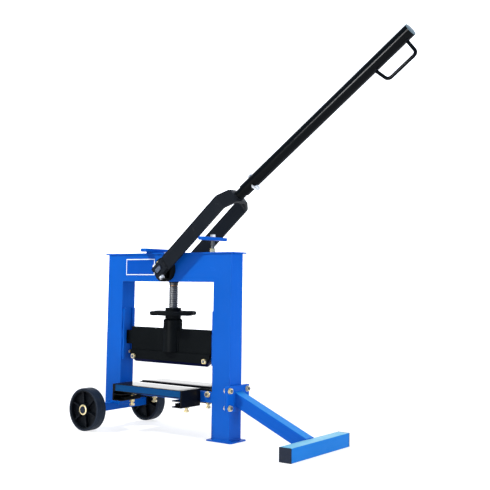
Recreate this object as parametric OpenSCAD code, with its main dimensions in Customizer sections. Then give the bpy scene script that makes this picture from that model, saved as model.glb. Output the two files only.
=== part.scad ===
// Manual block splitter. A welded portal frame stands on two wheels, a base plate and an outrigger.
// A forked lever turns an eccentric shaft in the top beam, which pushes a threaded spindle down.
// A handwheel nut sets the height of the blade carrier on that spindle, and two sprung tables
// carry the stone over the fixed lower blade. The origin is under the middle of the right post.

/* [Frame] */
// Width over the two posts
frame_w = 460; // [440:2:490]
// Height from the floor to the top of the cap strip
frame_h = 494; // [484:1:520]
// Width of a post across the front
post_w = 60; // [54:1:64]
// Depth of a post from front to back
post_d = 50; // [46:1:56]
// Wall of the posts and beams
tube_wall = 4; // [3:0.5:5]
// Height of the top beam
beam_h = 76; // [74:1:80]
// Thickness of the cap strip
cap_t = 4; // [3:0.5:6]
// Overhang of the cap strip past the posts
cap_over = 10; // [4:1:12]
// Thickness of the base plate
base_t = 4; // [3:0.5:8]
// Overhang of the base plate at the post's sides
base_over_x = 13; // [6:1:16]
// Overhang of the base plate at the post's front and back
base_over_y = 8; // [5:1:14]

/* [Wheels] */
// Diameter of a wheel
wheel_d = 117; // [105:1:125]
// Width of a wheel
wheel_w = 31; // [26:1:36]
// Distance between the wheels' middles
wheel_track = 238; // [234:1:260]
// Thickness of the tyre on its rim
tyre_t = 6; // [5:0.5:8]
// Diameter of the axle stubs
axle_d = 18; // [16:1:22]
// Side of the square axle bar
axle_bar = 22; // [20:1:26]
// Number of ribs in a wheel
rib_count = 6; // [5:1:8]

/* [Outrigger] */
// Reach of the foot past the right post
foot_reach = 268; // [240:2:300]
// Length of the foot bar with its plugs
foot_l = 264; // [220:2:290]
// Side of the foot's square tube
foot_s = 35; // [32:1:40]
// Side of the sloping arm's square tube
arm_s = 33; // [28:1:34]
// Wall of the outrigger's tubes
foot_wall = 2.5; // [2:0.5:3]
// Width of the clamped flange plates
flange_w = 92; // [86:1:100]
// Height of the clamped flange plates
flange_h = 66; // [60:1:76]
// Thickness of a flange plate
flange_t = 5; // [4:0.5:7]
// Height of the flange plates' middle above the floor
flange_z = 113; // [106:1:125]

/* [Lever] */
// Depth of the lever's shaft below the top of the frame
pivot_drop = 46; // [45:1:48]
// Diameter of the lever's shaft
shaft_d = 22; // [20:1:22]
// Throw of the eccentric
ecc_throw = 6; // [5:0.25:6]
// Slope of the fork with the lever down
arm_angle = 40.4; // [38:0.2:44]
// Swing of the lever from its stop to its back rest
lever_swing = 77.5; // [70:0.5:79]
// Width of a fork arm
fork_w = 43; // [40:1:48]
// Thickness of the fork's strap
fork_t = 7; // [6:0.5:9]
// Gap between the fork arms
fork_gap = 92; // [90:1:100]
// Length of the parallel arms from the shaft
fork_l = 274; // [250:2:300]
// Rise of the fork's drawn-in shoulder
fork_rise = 26; // [22:1:34]
// Half width of the fork's flat top
fork_top = 22; // [19:1:26]
// Bend of the handle against the fork
handle_bend = 4.4; // [0:0.2:6]
// Diameter of the handle tube
handle_d = 33.7; // [32:0.1:38]
// Wall of the handle tube
handle_wall = 2.5; // [2:0.5:3]
// Length of the handle tube
handle_l = 605; // [500:5:700]
// Length of the spigot that shows below the handle tube
spigot_show = 24; // [16:1:30]
// Length of the spigot inside the handle tube
spigot_in = 90; // [70:1:110]
// Diameter of the grip loop's rod
loop_d = 9; // [8:0.5:11]
// Length of the grip loop
loop_l = 94; // [84:1:104]
// Depth of the grip loop's rod below the handle's axis
loop_drop = 57; // [50:1:62]

/* [Spindle and handwheel] */
// Diameter of the spindle
spindle_d = 25; // [22:1:26]
// Length of the spindle below the eccentric
spindle_l = 160; // [158:1:164]
// Depth of the handwheel's rim below the lever's shaft
handwheel_drop = 121; // [120:1:124]
// Diameter of the handwheel over its lobes
handwheel_d = 129; // [116:1:140]
// Thickness of the handwheel's rim
handwheel_t = 11; // [8:0.5:14]
// Number of lobes round the handwheel
lobe_count = 6; // [5:1:8]
// Diameter of the handwheel's hub
hub_d = 44; // [42:1:46]
// Height of the handwheel's hub above the rim's middle
hub_rise = 15; // [12:1:16]

/* [Blade carrier] */
// Travel of the carrier up from the photographed height
carrier_up = 58; // [40:1:58]
// Travel of the carrier down from the photographed height
carrier_down = 38; // [20:1:40]
// Diameter of the carrier's sleeve
sleeve_d = 53; // [51:1:56]
// Length of the carrier's sleeve
sleeve_l = 90; // [88:1:94]
// Depth of the carrier plate's top edge below the sleeve's top
plate_drop = 26; // [24:1:34]
// Thickness of the carrier plate and blades
plate_t = 12; // [10:0.5:14]
// Gap from the carrier plate's end to the post
plate_side = 22; // [18:1:26]
// Height of the carrier plate below the sleeve
plate_web = 14; // [14:1:20]
// Height of the guide tabs
tab_h = 38; // [30:1:44]
// Thickness of the blade's clamping cheeks
cheek_t = 5; // [4:0.5:7]
// Height of the upper blade
blade_h = 20; // [19:1:26]
// Height of a blade's bevel
bevel_h = 8; // [6:0.5:8]
// Flat left on a blade's edge
edge_w = 2; // [1:0.5:3]

/* [Tables] */
// Height of the tables' tops above the floor
table_z = 132; // [130:1:140]
// Gap from a table's end to the post
table_side = 43; // [36:1:50]
// Distance from the middle of the frame to a table's outer edge
table_out = 96; // [90:1:100]
// Distance from the middle of the frame to a table's inner edge
table_in = 19; // [18:0.5:24]
// Sheet thickness of the tables
table_t = 4; // [3:0.5:5]
// Depth of a table's end rail below its top
rail_h = 45.3; // [44:0.1:48]
// Drop of a table when it is pressed
table_drop = 6; // [3:0.5:6]
// Depth of the lower blade's edge below the tables
blade_sunk = 3; // [1:0.5:4]
// Height of the lower beam
lower_h = 28; // [26:1:30]
// Depth of the lower beam from front to back
lower_d = 34; // [30:1:35]
// Wire of the table springs
spring_wire = 2.4; // [2:0.1:2.6]
// Middle diameter of the table springs
spring_d = 13; // [12.5:0.5:14]
// Turns of a table spring
spring_turns = 6; // [5:1:7]

/* [Fits] */
// Running clearance of a shaft in its bore, on the radius
run_fit = 0.05; // [0.03:0.01:0.08]
// Clearance between pieces that pass each other
pass_gap = 0.3; // [0.2:0.05:0.4]
// Clearance of a bolt in its hole, on the radius
bolt_gap = 0.25; // [0.15:0.05:0.4]

/* [Hidden] */
$fn = 64;

// Finishes
blue = [0.08, 0.36, 0.84];
black = [0.08, 0.08, 0.09];
zinc = [0.84, 0.74, 0.48];
steel = [0.45, 0.46, 0.48];
rubber = [0.12, 0.13, 0.15];
teal = [0.03, 0.27, 0.47];
grey = [0.35, 0.42, 0.45];
navy = [0.06, 0.07, 0.14];

// Fastener sizes, as a shank diameter
m5 = 5;
m6 = 6;
m8 = 8;
m12 = 12;
across = 1.6;
head_part = 0.65;
nut_part = 0.8;
bolt_spare = 2;
washer_t = 1.3;

// Frame
clear_w = frame_w - 2 * post_w;
post_x = (frame_w - post_w) / 2;
press_x = -post_x;
beam_top = frame_h - cap_t;
beam_z = beam_top - beam_h;
cap_side = 3;
base_round = 6;
axle_z = wheel_d / 2;
foot_lap = 6;
left_foot = axle_z + axle_bar / 2 - foot_lap;

// Eccentric: the spindle hangs under the middle of the eccentric's sideways travel
pivot_z = frame_h - pivot_drop;
half_swing = lever_swing / 2;
ecc_wall = 1.5;
ecc_r = shaft_d / 2 + ecc_throw + ecc_wall;
ecc_w = 20;
spindle_x = ecc_throw * (1 + cos(half_swing)) / 2;
ecc_x = ecc_throw * cos(half_swing);
ecc_z = pivot_z - ecc_throw * sin(half_swing);
yoke_clear = 1;
yoke_wall = 4;
yoke_w = 18;
yoke_r = ecc_r + yoke_clear + yoke_wall;
shaft_clear = 1;
bearing_d = 68;
bearing_t = 15;
bearing_screw_r = 28;
screw_sunk = 0.5;
bush_wall = 4;
bush_lip = 4;
bush_lip_t = 2;
collar_wall = 1.5;
collar_l = 3;
bush_d = spindle_d + 2 * bush_wall;

// Lever
hub_half = 24;
clamp_w = 36;
clamp_t = 17;
clamp_tail = 21;
flat_w = 12;
flat_start = 0.5;
pinch_s = -9.5;
fork_mid = (fork_gap + fork_t) / 2;
shaft_show = 2;
shaft_end = fork_mid + clamp_t / 2 + shaft_show;
fork_crown = fork_l + fork_rise;
fork_bend = 14;
fork_ease = fork_bend * tan(22.5);
bend_in = 13;
bend_s = fork_crown - bend_in;
spigot_d = handle_d - 2 * handle_wall - 2 * run_fit;
handle_s = fork_crown + fork_t / 2 - bend_s + spigot_show;
bolt_inset = 36;
plug_t = 4;
plug_ease = 2;
loop_end = 20;
loop_flare = 12;
loop_lean = 2;
loop_bend = 12;
bend_lap = 0.5;
bend_swell = 0.03;

// Stops for the fork: both are set so that an arm just clears them at the end of its swing
rest_x = 145;
rest_bar_w = 16;
rest_bar_t = 6;
rest_bar_l = 108;
rest_boss_d = 22;
rest_spare = 3;
rest_reach = rest_x - rest_bar_w / 2;
rest_top = pivot_z + (rest_reach * sin(arm_angle) - fork_w / 2 - pass_gap) / cos(arm_angle);
back_angle = 180 - arm_angle - lever_swing;
back_x = -68;
back_w = 24;
back_bar_t = 5.5;
back_bar_l = 2 * fork_mid;
back_reach = -back_x - back_w / 2;
back_top = pivot_z + (back_reach * sin(back_angle) - fork_w / 2 - pass_gap) / cos(back_angle);

// Handwheel, sleeve and carrier, hung from the lever's shaft
handwheel_z = pivot_z - handwheel_drop;
neck_l = 16;
sleeve_top = handwheel_z - neck_l;
pocket_wall = 7.5;
spigot_nut_d = sleeve_d - 2 * pocket_wall;
spigot_nut_l = 16;
groove_l = 6;
groove_depth = 3;
groove_drop = 10;
groove_z = sleeve_top - groove_drop;
sleeve_play = 3;
sleeve_bore = spindle_d + 2 * sleeve_play;
sleeve_chamfer = 3;
sleeve_bottom = sleeve_top - sleeve_l;
plate_top = sleeve_top - plate_drop;
plate_bottom = sleeve_bottom - plate_web;
plate_half = clear_w / 2 - plate_side;
tab_clear = 1.5;
tab_drop = 56;
tab_mid = sleeve_top - tab_drop;
weld_gap = 0.1;
cheek_under = 1;
cheek_top = sleeve_bottom - cheek_under;
blade_bottom = plate_bottom - blade_h;
cheek_bottom = blade_bottom + bevel_h;
cheek_chamfer = 14;
side_gap = 3;
blade_bolt_in = 16;
blade_bolt_drop = 5;
blade_bolt_x = plate_half - blade_bolt_in;
blade_bolt_z = plate_bottom - blade_bolt_drop;

// Guides on the posts, long enough for the carrier's travel
guide_t = 6;
guide_play = 6;
guide_half = plate_t / 2 + guide_play;
guide_lip = 9;
guide_spare = 5;
guide_top = tab_mid + tab_h / 2 + carrier_up + guide_spare;
guide_bottom = tab_mid - tab_h / 2 - carrier_down - guide_spare;

// Lower blade and beam
table_over = 8;
lower_top = table_z - table_over;
lower_z = lower_top - lower_h;
lower_edge = table_z - blade_sunk;
lower_side = 10;
lower_blade_half = clear_w / 2 - lower_side;
lower_chamfer = 20;
lower_tang = 18;
lower_bolt_in = 20;
lower_bolt_drop = 6.5;
jack_in = 30;
lower_bolt_x = clear_w / 2 - lower_bolt_in;
lower_bolt_z = lower_top - lower_bolt_drop;
jack_x = clear_w / 2 - jack_in;

// Tables, their arms, guide bolts and springs
lip_w = 30;
lip_t = 3;
lip_z = table_z - rail_h;
upper_lip_z = lower_z + table_drop + pass_gap;
table_half = clear_w / 2 - table_side;
rail_step = 1;
rail_in = table_in + rail_step;
skirt_h = 20;
strip_h = 16;
strip_t = 1.5;
strip_drop = 1.5;
strip_short = 9;
table_bolt_in = 22;
table_bolt_x = table_half - table_t - table_bolt_in;
table_bolt_y = 45;
table_arm_w = 16;
table_arm_t = 6;
arm_hole_gap = 1;
table_arm_gap = 10;
table_arm_out = table_out - table_t - table_arm_gap;
table_under = table_z - table_t;
spring_seat = 0.2;
spring_pass = 1.5;
table_bolt_hang = 17;

// Outrigger
flange_x = post_x + post_w / 2;
foot_x = flange_x + foot_reach;
arm_x0 = flange_x + 2 * flange_t;
arm_x1 = foot_x - foot_s;
arm_lift = 1;
arm_z1 = foot_s / 2 + arm_lift;
arm_slope = atan((flange_z - arm_z1) / (arm_x1 - arm_x0));
plug_cap = 2.5;
plug_in = 18;
plug_wall = 2;
out_bolt_shift = 1;
out_bolt_in = 11;
out_bolt_y = (post_d / 2 + flange_w / 2) / 2 + out_bolt_shift;
out_bolt_z = flange_h / 2 - out_bolt_in;

// Wheels
wheel_y = wheel_track / 2;
axle_show = 4;
bar_clear = 0.5;
ring_wall = 5.5;
axle_end = wheel_y + wheel_w / 2 + axle_show;
bar_end = wheel_y - wheel_w / 2 - bar_clear;
ring_d = axle_d + 2 * ring_wall;
ring_t = 2;
rim_r = wheel_d / 2 - tyre_t;
rim_t = 3.5;
shoulder_r = 2;
boss_wall = 7;
boss_r = axle_d / 2 + boss_wall;
web_t = 6;
rib_t = 4;
rim_sunk = 1;
rib_sunk = 4;
rib_start = 40;

// Moves a piece from the press axis to the part's origin
module at_press() {
    translate([press_x, 0, 0]) children();
}

// Moves a piece from the spindle's axis to the part's origin
module at_spindle() {
    translate([press_x + spindle_x, 0, 0]) children();
}

// Box between two corners
module box(low, high) {
    translate(low) cube(high - low);
}

// Box tube along Z, of outer size w by d
module tube_z(w, d, z0, z1, wall) {
    difference() {
        box([-w / 2, -d / 2, z0], [w / 2, d / 2, z1]);
        box([wall - w / 2, wall - d / 2, z0 - 1], [w / 2 - wall, d / 2 - wall, z1 + 1]);
    }
}

// Rectangle with round corners, about the middle
module round_rect(w, d, r) {
    square([w - 2 * r, d], center = true);
    square([w, d - 2 * r], center = true);
    for (x = [r - w / 2, w / 2 - r]) for (y = [r - d / 2, d / 2 - r]) translate([x, y]) circle(r = r);
}

// Copies on both sides of the middle plane across X
module both_x() {
    children();
    mirror([1, 0, 0]) children();
}

// Copies in front of and behind the frame
module both_y() {
    children();
    mirror([0, 1, 0]) children();
}

// Round bar along Y, or a round hole when it is cut away
module bar_y(d, y0, y1) {
    translate([0, y0, 0]) rotate([-90, 0, 0]) cylinder(d = d, h = y1 - y0);
}

// Hexagon of a bolt head or nut, standing on z = 0
module hex(d, h) {
    cylinder(d = across * d / cos(30), h = h, $fn = 6);
}

// Bolt along Z through a stack from z = 0 to z = grip, head below, nut and spare thread above,
// each on a washer
module bolt(d, grip, spare) {
    head_h = head_part * d;
    nut_h = nut_part * d;
    translate([0, 0, -head_h]) hex(d, head_h);
    translate([0, 0, -head_h]) cylinder(d = d, h = head_h + grip + nut_h + spare);
    translate([0, 0, grip]) hex(d, nut_h);
    translate([0, 0, -washer_t]) cylinder(d = 2 * d, h = washer_t);
    translate([0, 0, grip]) cylinder(d = 2 * d, h = washer_t);
}

// Frame of the lever: X along the fork arms from the shaft, Z square to them
module on_lever() {
    at_press() translate([0, 0, pivot_z]) rotate([0, -arm_angle, 0]) children();
}

// Frame of the handle: X along the handle tube from the bend
module on_handle() {
    translate([bend_s, 0, 0]) rotate([0, handle_bend, 0]) children();
}

// Round bar along a line of points in the XY plane, with a round bend of radius r at each inner point
module bent_bar(points, r, d) {
    last = len(points) - 1;
    dirs = [for (i = [0:last - 1]) (points[i + 1] - points[i]) / norm(points[i + 1] - points[i])];
    turns = [for (i = [1:last - 1]) atan2(dirs[i - 1][0] * dirs[i][1] - dirs[i - 1][1] * dirs[i][0],
                                          dirs[i - 1] * dirs[i])];
    cuts = concat([0], [for (t = turns) r * tan(abs(t) / 2)], [0]);
    ends = concat([0], [for (i = [1:last - 1]) cuts[i] - bend_lap], [0]);
    for (i = [0:last - 1])
        translate(points[i] + ends[i] * dirs[i]) rotate([0, 90, atan2(dirs[i][1], dirs[i][0])])
            cylinder(d = d, h = norm(points[i + 1] - points[i]) - ends[i] - ends[i + 1]);
    for (i = [1:last - 1])
        let (side = sign(turns[i - 1]), a = atan2(dirs[i - 1][1], dirs[i - 1][0]) - 90 * side)
            translate(points[i] - cuts[i] * dirs[i - 1] - side * r * [dirs[i - 1][1], -dirs[i - 1][0]])
                rotate(side > 0 ? a : a + turns[i - 1]) rotate_extrude(angle = abs(turns[i - 1]))
                    translate([r, 0]) circle(d = d + 2 * bend_swell);
}

// Posts, beams and plates of the frame; the left post is notched over the axle bar
module left_post() {
    notch = axle_bar / 2 + weld_gap;
    color(blue) at_press() translate([-post_x, 0, 0]) difference() {
        tube_z(post_w, post_d, left_foot, beam_top, tube_wall);
        box([-notch, -post_d, left_foot - 1], [notch, post_d, left_foot + foot_lap]);
    }
}

module right_post() {
    color(blue) at_press() translate([post_x, 0, 0])
        tube_z(post_w, post_d, base_t, beam_top, tube_wall);
}

module top_beam() {
    color(blue) at_press() difference() {
        box([-clear_w / 2, -post_d / 2, beam_z], [clear_w / 2, post_d / 2, beam_top]);
        box([-clear_w / 2 - 1, tube_wall - post_d / 2, beam_z + tube_wall],
            [clear_w / 2 + 1, post_d / 2 - tube_wall, beam_top - tube_wall]);
        translate([0, 0, pivot_z]) bar_y(shaft_d + 2 * shaft_clear, -post_d, post_d);
        translate([spindle_x, 0, beam_z - 1]) cylinder(d = bush_d + 2 * run_fit, h = tube_wall + 2);
    }
}

module cap_strip() {
    color(blue) at_press()
        box([-frame_w / 2 - cap_over, -post_d / 2 - cap_side, beam_top],
            [frame_w / 2 + cap_over, post_d / 2 + cap_side, frame_h]);
}

module base_plate() {
    color(blue) at_press() translate([post_x, 0, 0]) linear_extrude(base_t)
        round_rect(post_w + 2 * base_over_x, post_d + 2 * base_over_y, base_round);
}

// Lower beam, slotted along its top for the lower blade
module lower_beam() {
    color(blue) at_press() difference() {
        box([-clear_w / 2, -lower_d / 2, lower_z], [clear_w / 2, lower_d / 2, lower_top]);
        box([-clear_w / 2 - 1, tube_wall - lower_d / 2, lower_z + tube_wall],
            [clear_w / 2 + 1, lower_d / 2 - tube_wall, lower_top - tube_wall]);
        box([-lower_blade_half - weld_gap, -plate_t / 2 - weld_gap, lower_top - tube_wall - 1],
            [lower_blade_half + weld_gap, plate_t / 2 + weld_gap, lower_top + 1]);
        both_x() translate([lower_bolt_x, 0, lower_bolt_z])
            bar_y(m8 + 2 * bolt_gap, -lower_d, lower_d);
        both_x() translate([jack_x, 0, lower_z - 1]) cylinder(d = m8 + 2 * bolt_gap, h = tube_wall + 2);
    }
}

// Pair of guide lips on the inner face of one post
module guide(side) {
    color(blue) at_press() mirror([side < 0 ? 1 : 0, 0, 0]) both_y()
        box([clear_w / 2 - guide_t, guide_half, guide_bottom],
            [clear_w / 2, guide_half + guide_lip, guide_top]);
}

module left_guide() guide(-1);
module right_guide() guide(1);

// Axle under the left post: a square bar with round stubs, and push-on rings that hold the wheels
module at_axle() {
    at_press() translate([-post_x, 0, axle_z]) children();
}

module axle_bar_blue() {
    half = axle_bar / 2;
    color(blue) at_axle() box([-half, -bar_end, -half], [half, bar_end, half]);
}

module axle_stubs() {
    color(steel) at_axle() both_y() bar_y(axle_d, bar_end, axle_end);
}

module axle_rings() {
    y0 = wheel_y + wheel_w / 2 + pass_gap;
    color(zinc) at_axle() both_y() difference() {
        bar_y(ring_d, y0, y0 + ring_t);
        bar_y(axle_d + 2 * run_fit, y0 - 1, y0 + ring_t + 1);
    }
}

// Flanged bearings of the lever's shaft on the beam's faces
module bearing() {
    y0 = post_d / 2;
    color(black) at_press() translate([0, 0, pivot_z]) difference() {
        bar_y(bearing_d, y0, y0 + bearing_t);
        bar_y(shaft_d + 2 * run_fit, y0 - 1, y0 + bearing_t + 1);
        bearing_screw_places() bar_y(across * m6 + 2 * bolt_gap, y0 + bearing_t - m6, y0 + bearing_t + 1);
        bearing_screw_places() bar_y(m6 + 2 * bolt_gap, y0 - 1, y0 + bearing_t);
    }
}

module bearing_screw_places() {
    for (a = [45:90:315])
        translate([bearing_screw_r * cos(a), 0, bearing_screw_r * sin(a)]) children();
}

module front_bearing() mirror([0, 1, 0]) bearing();
module rear_bearing() bearing();

module bearing_screws() {
    y0 = post_d / 2;
    color(zinc) at_press() translate([0, 0, pivot_z]) both_y() bearing_screw_places() {
        bar_y(across * m6, y0 + bearing_t - m6, y0 + bearing_t - screw_sunk);
        bar_y(m6, y0, y0 + bearing_t - m6);
    }
}

// Bush that guides the spindle through the beam's bottom wall, with a lip inside and a collar below
module spindle_bush() {
    color(black) at_spindle() translate([0, 0, beam_z]) difference() {
        union() {
            cylinder(d = bush_d, h = tube_wall);
            translate([0, 0, tube_wall]) cylinder(d = bush_d + 2 * bush_lip, h = bush_lip_t);
            translate([0, 0, -collar_l]) cylinder(d = spindle_d + 2 * collar_wall, h = collar_l);
        }
        translate([0, 0, -collar_l - 1])
            cylinder(d = spindle_d + 2 * run_fit, h = collar_l + tube_wall + bush_lip_t + 2);
    }
}

// Back rest: a cross bar on a block, where the fork leans with the lever up
module back_rest() {
    half = back_w / 2;
    under = back_top - back_bar_t;
    color(blue) at_press() translate([back_x, 0, 0]) {
        box([-half, -post_d / 2, frame_h], [half, post_d / 2, under]);
        box([-half, -back_bar_l / 2, under], [half, back_bar_l / 2, back_top]);
    }
}

// Rest bar on its bolt, where the fork lies with the lever down
module rest_bar() {
    color(blue) at_press() translate([rest_x, 0, rest_top]) difference() {
        union() {
            box([-rest_bar_w / 2, -rest_bar_l / 2, -rest_bar_t], [rest_bar_w / 2, rest_bar_l / 2, 0]);
            translate([0, 0, -rest_bar_t]) cylinder(d = rest_boss_d, h = rest_bar_t);
        }
        translate([0, 0, -rest_bar_t - 1]) cylinder(d = m12 + 2 * run_fit, h = rest_bar_t + 2);
    }
}

module rest_bolt() {
    nut_h = nut_part * m12;
    color(zinc) at_press() translate([rest_x, 0, 0]) {
        translate([0, 0, frame_h]) hex(m12, nut_h);
        translate([0, 0, frame_h]) cylinder(d = m12, h = rest_top + nut_h + rest_spare - frame_h);
        translate([0, 0, rest_top]) hex(m12, nut_h);
    }
}

// Outline of a blade with bevelled edge, along X, edge at z = 0 and body up to z = h
module blade_bar(half, h) {
    rotate([90, 0, 90]) translate([0, 0, -half]) linear_extrude(2 * half)
        polygon([[-edge_w / 2, 0], [edge_w / 2, 0], [plate_t / 2, bevel_h], [plate_t / 2, h],
                 [-plate_t / 2, h], [-plate_t / 2, bevel_h]]);
}

// Cuts the corners off both ends of a blade, over a height from z = 0
module corner_cut(half, cut_x, cut_z) {
    both_x() rotate([90, 0, 0]) translate([0, 0, -plate_t]) linear_extrude(2 * plate_t)
        polygon([[half + 1, -1], [half + 1, cut_z], [half, cut_z], [half - cut_x, 0], [half - cut_x, -1]]);
}

module lower_blade() {
    lower_blade_h = lower_edge - lower_top + lower_tang;
    color(black) at_press() difference() {
        translate([0, 0, lower_edge]) mirror([0, 0, 1]) difference() {
            blade_bar(lower_blade_half, lower_blade_h);
            corner_cut(lower_blade_half, lower_chamfer, lower_edge - lower_top);
        }
        both_x() translate([lower_bolt_x, 0, lower_bolt_z]) bar_y(m8 + 2 * bolt_gap, -plate_t, plate_t);
    }
}

module lower_blade_bolts() {
    color(zinc) at_press() both_x() translate([lower_bolt_x, lower_d / 2, lower_bolt_z])
        rotate([90, 0, 0]) bolt(m8, lower_d, bolt_spare);
}

// Jack screws under the lower blade
module blade_jacks() {
    head_h = head_part * m8;
    color(zinc) at_press() both_x() translate([jack_x, 0, lower_z]) {
        translate([0, 0, -head_h]) hex(m8, head_h);
        translate([0, 0, -head_h]) cylinder(d = m8, h = head_h + lower_top - lower_tang - lower_z);
    }
}

// Flat bars under the lower beam that carry the table springs
module table_arms() {
    color(black) at_press() both_x() difference() {
        box([table_bolt_x - table_arm_w / 2, -table_arm_out, lower_z - table_arm_t],
            [table_bolt_x + table_arm_w / 2, table_arm_out, lower_z]);
        both_y() translate([table_bolt_x, table_bolt_y, lower_z - table_arm_t - 1])
            cylinder(d = m8 + 2 * arm_hole_gap, h = table_arm_t + 2);
    }
}

// Outrigger: bracket plate on the post, bolted flange, sloping arm and foot
module flange_plate(x0) {
    difference() {
        box([x0, -flange_w / 2, flange_z - flange_h / 2],
            [x0 + flange_t, flange_w / 2, flange_z + flange_h / 2]);
        flange_bolt_places() translate([x0 - 1, 0, 0]) rotate([0, 90, 0])
            cylinder(d = m8 + 2 * bolt_gap, h = flange_t + 2);
    }
}

module flange_bolt_places() {
    for (y = [-out_bolt_y, out_bolt_y])
        for (z = [flange_z - out_bolt_z, flange_z + out_bolt_z])
            translate([0, y, z]) children();
}

module bracket_plate() {
    color(blue) at_press() flange_plate(flange_x);
}

module outrigger_flange() {
    color(blue) at_press() flange_plate(flange_x + flange_t);
}

module outrigger_arm() {
    mid_x = (arm_x0 + arm_x1) / 2;
    mid_z = (flange_z + arm_z1) / 2;
    long = arm_x1 - arm_x0 + 4 * arm_s;
    color(blue) at_press() intersection() {
        translate([mid_x, 0, mid_z]) rotate([0, 90 + arm_slope, 0])
            tube_z(arm_s, arm_s, -long / 2, long / 2, foot_wall);
        box([arm_x0, -arm_s, 0], [arm_x1, arm_s, 2 * flange_z]);
    }
}

module at_foot() {
    at_press() translate([foot_x - foot_s / 2, 0, foot_s / 2]) children();
}

module outrigger_foot() {
    half = foot_l / 2 - plug_cap;
    color(blue) at_foot() rotate([90, 0, 0]) tube_z(foot_s, foot_s, -half, half, foot_wall);
}

module foot_plugs() {
    half = foot_l / 2 - plug_cap;
    inner = foot_s / 2 - foot_wall - weld_gap;
    hollow = inner - plug_wall;
    color(black) at_foot() both_y() {
        box([-foot_s / 2, half, -foot_s / 2], [foot_s / 2, half + plug_cap, foot_s / 2]);
        difference() {
            box([-inner, half - plug_in, -inner], [inner, half, inner]);
            box([-hollow, half - plug_in - 1, -hollow], [hollow, half, hollow]);
        }
    }
}

module outrigger_bolts() {
    color(zinc) at_press() flange_bolt_places() translate([flange_x, 0, 0])
        rotate([0, 90, 0]) bolt(m8, 2 * flange_t, bolt_spare);
}

// Lever: shaft with its eccentric, forked strap, spigot, handle tube and grip loop
module eccentric_shaft() {
    flat_y = post_d / 2 + bearing_t + flat_start;
    color(steel) difference() {
        at_press() {
            translate([0, 0, pivot_z]) bar_y(shaft_d, -shaft_end, shaft_end);
            translate([ecc_x, 0, ecc_z]) bar_y(2 * ecc_r, -ecc_w / 2, ecc_w / 2);
        }
        on_lever() both_y() {
            box([-shaft_d, flat_y, flat_w / 2], [shaft_d, shaft_end + 1, shaft_d]);
            box([-shaft_d, flat_y, -shaft_d], [shaft_d, shaft_end + 1, -flat_w / 2]);
        }
        on_lever() pinch_holes();
    }
}

module pinch_holes() {
    both_y() translate([pinch_s, fork_mid, -clamp_w]) cylinder(d = m8 + 2 * bolt_gap, h = 2 * clamp_w);
}

// Outer and inner outline of the bent strap, seen along the lever's Z, with two round bends a side
function strap_side(off) = concat(
    [[0, fork_mid + off]],
    [for (a = [90:-9:45])
        [fork_l - fork_ease, fork_mid - fork_bend] + (fork_bend + off) * [cos(a), sin(a)]],
    [for (a = [45:-9:0])
        [fork_crown - fork_bend, fork_top - fork_ease] + (fork_bend + off) * [cos(a), sin(a)]]
);

module strap_outline(off) {
    side = strap_side(off);
    polygon(concat(side, [for (i = [len(side) - 1:-1:0]) [side[i][0], -side[i][1]]]));
}

module lever_fork() {
    color(black) on_lever() difference() {
        union() {
            translate([0, 0, -fork_w / 2]) linear_extrude(fork_w) difference() {
                strap_outline(fork_t / 2);
                translate([-1, 0]) strap_outline(-fork_t / 2);
                square([2 * hub_half, 4 * fork_mid], center = true);
            }
            both_y() box([-clamp_tail, fork_mid - clamp_t / 2, -clamp_w / 2],
                         [hub_half, fork_mid + clamp_t / 2, clamp_w / 2]);
        }
        box([-clamp_tail - 1, -shaft_end, -flat_w / 2 - run_fit],
            [shaft_d / 2 + pass_gap, shaft_end, flat_w / 2 + run_fit]);
        pinch_holes();
    }
}

module pinch_bolts() {
    color(zinc) on_lever() both_y() translate([pinch_s, fork_mid, clamp_w / 2]) mirror([0, 0, 1])
        bolt(m8, clamp_w, bolt_spare);
}

module handle_bolt_hole() {
    translate([handle_s + bolt_inset, 0, -handle_d]) cylinder(d = m8 + 2 * bolt_gap, h = 2 * handle_d);
}

module lever_spigot() {
    color(black) on_lever() difference() {
        on_handle() rotate([0, 90, 0]) cylinder(d = spigot_d, h = handle_s + spigot_in);
        box([0, -fork_mid, -fork_w], [fork_crown + fork_t / 2, fork_mid, fork_w]);
        on_handle() handle_bolt_hole();
    }
}

module lever_handle() {
    color(black) on_lever() on_handle() difference() {
        translate([handle_s, 0, 0]) rotate([0, 90, 0]) difference() {
            cylinder(d = handle_d, h = handle_l);
            translate([0, 0, -1]) cylinder(d = handle_d - 2 * handle_wall, h = handle_l + 2);
        }
        handle_bolt_hole();
    }
}

module handle_plug() {
    color(grey) on_lever() on_handle() translate([handle_s + handle_l, 0, 0]) rotate([0, 90, 0]) {
        cylinder(d1 = handle_d, d2 = handle_d - 2 * plug_ease, h = plug_t);
        translate([0, 0, -plug_in]) cylinder(d = handle_d - 2 * handle_wall - 2 * run_fit, h = plug_in);
    }
}

// Cross bolt with a wing nut on its lower end
module handle_bolt() {
    head_h = head_part * m8;
    seat = handle_d / 2;
    end_l = 12;
    boss_h = 9;
    boss_d = 15;
    boss_draft = 1.5;
    wing_l = 15;
    wing_w = 8;
    wing_t = 3;
    wing_drop = 6.5;
    wing_tilt = 25;
    color(steel) on_lever() on_handle() translate([handle_s + bolt_inset, 0, 0]) {
        translate([0, 0, seat]) hex(m8, head_h);
        translate([0, 0, -seat - end_l]) cylinder(d = m8, h = 2 * seat + end_l);
        translate([0, 0, -seat - boss_h]) cylinder(d1 = boss_d - 2 * boss_draft, d2 = boss_d, h = boss_h);
        both_y() translate([0, boss_d / 3, -seat - wing_drop]) rotate([90 + wing_tilt, 0, 0])
            mirror([0, 0, 1]) linear_extrude(wing_l) square([wing_t, wing_w], center = true);
    }
}

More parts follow.
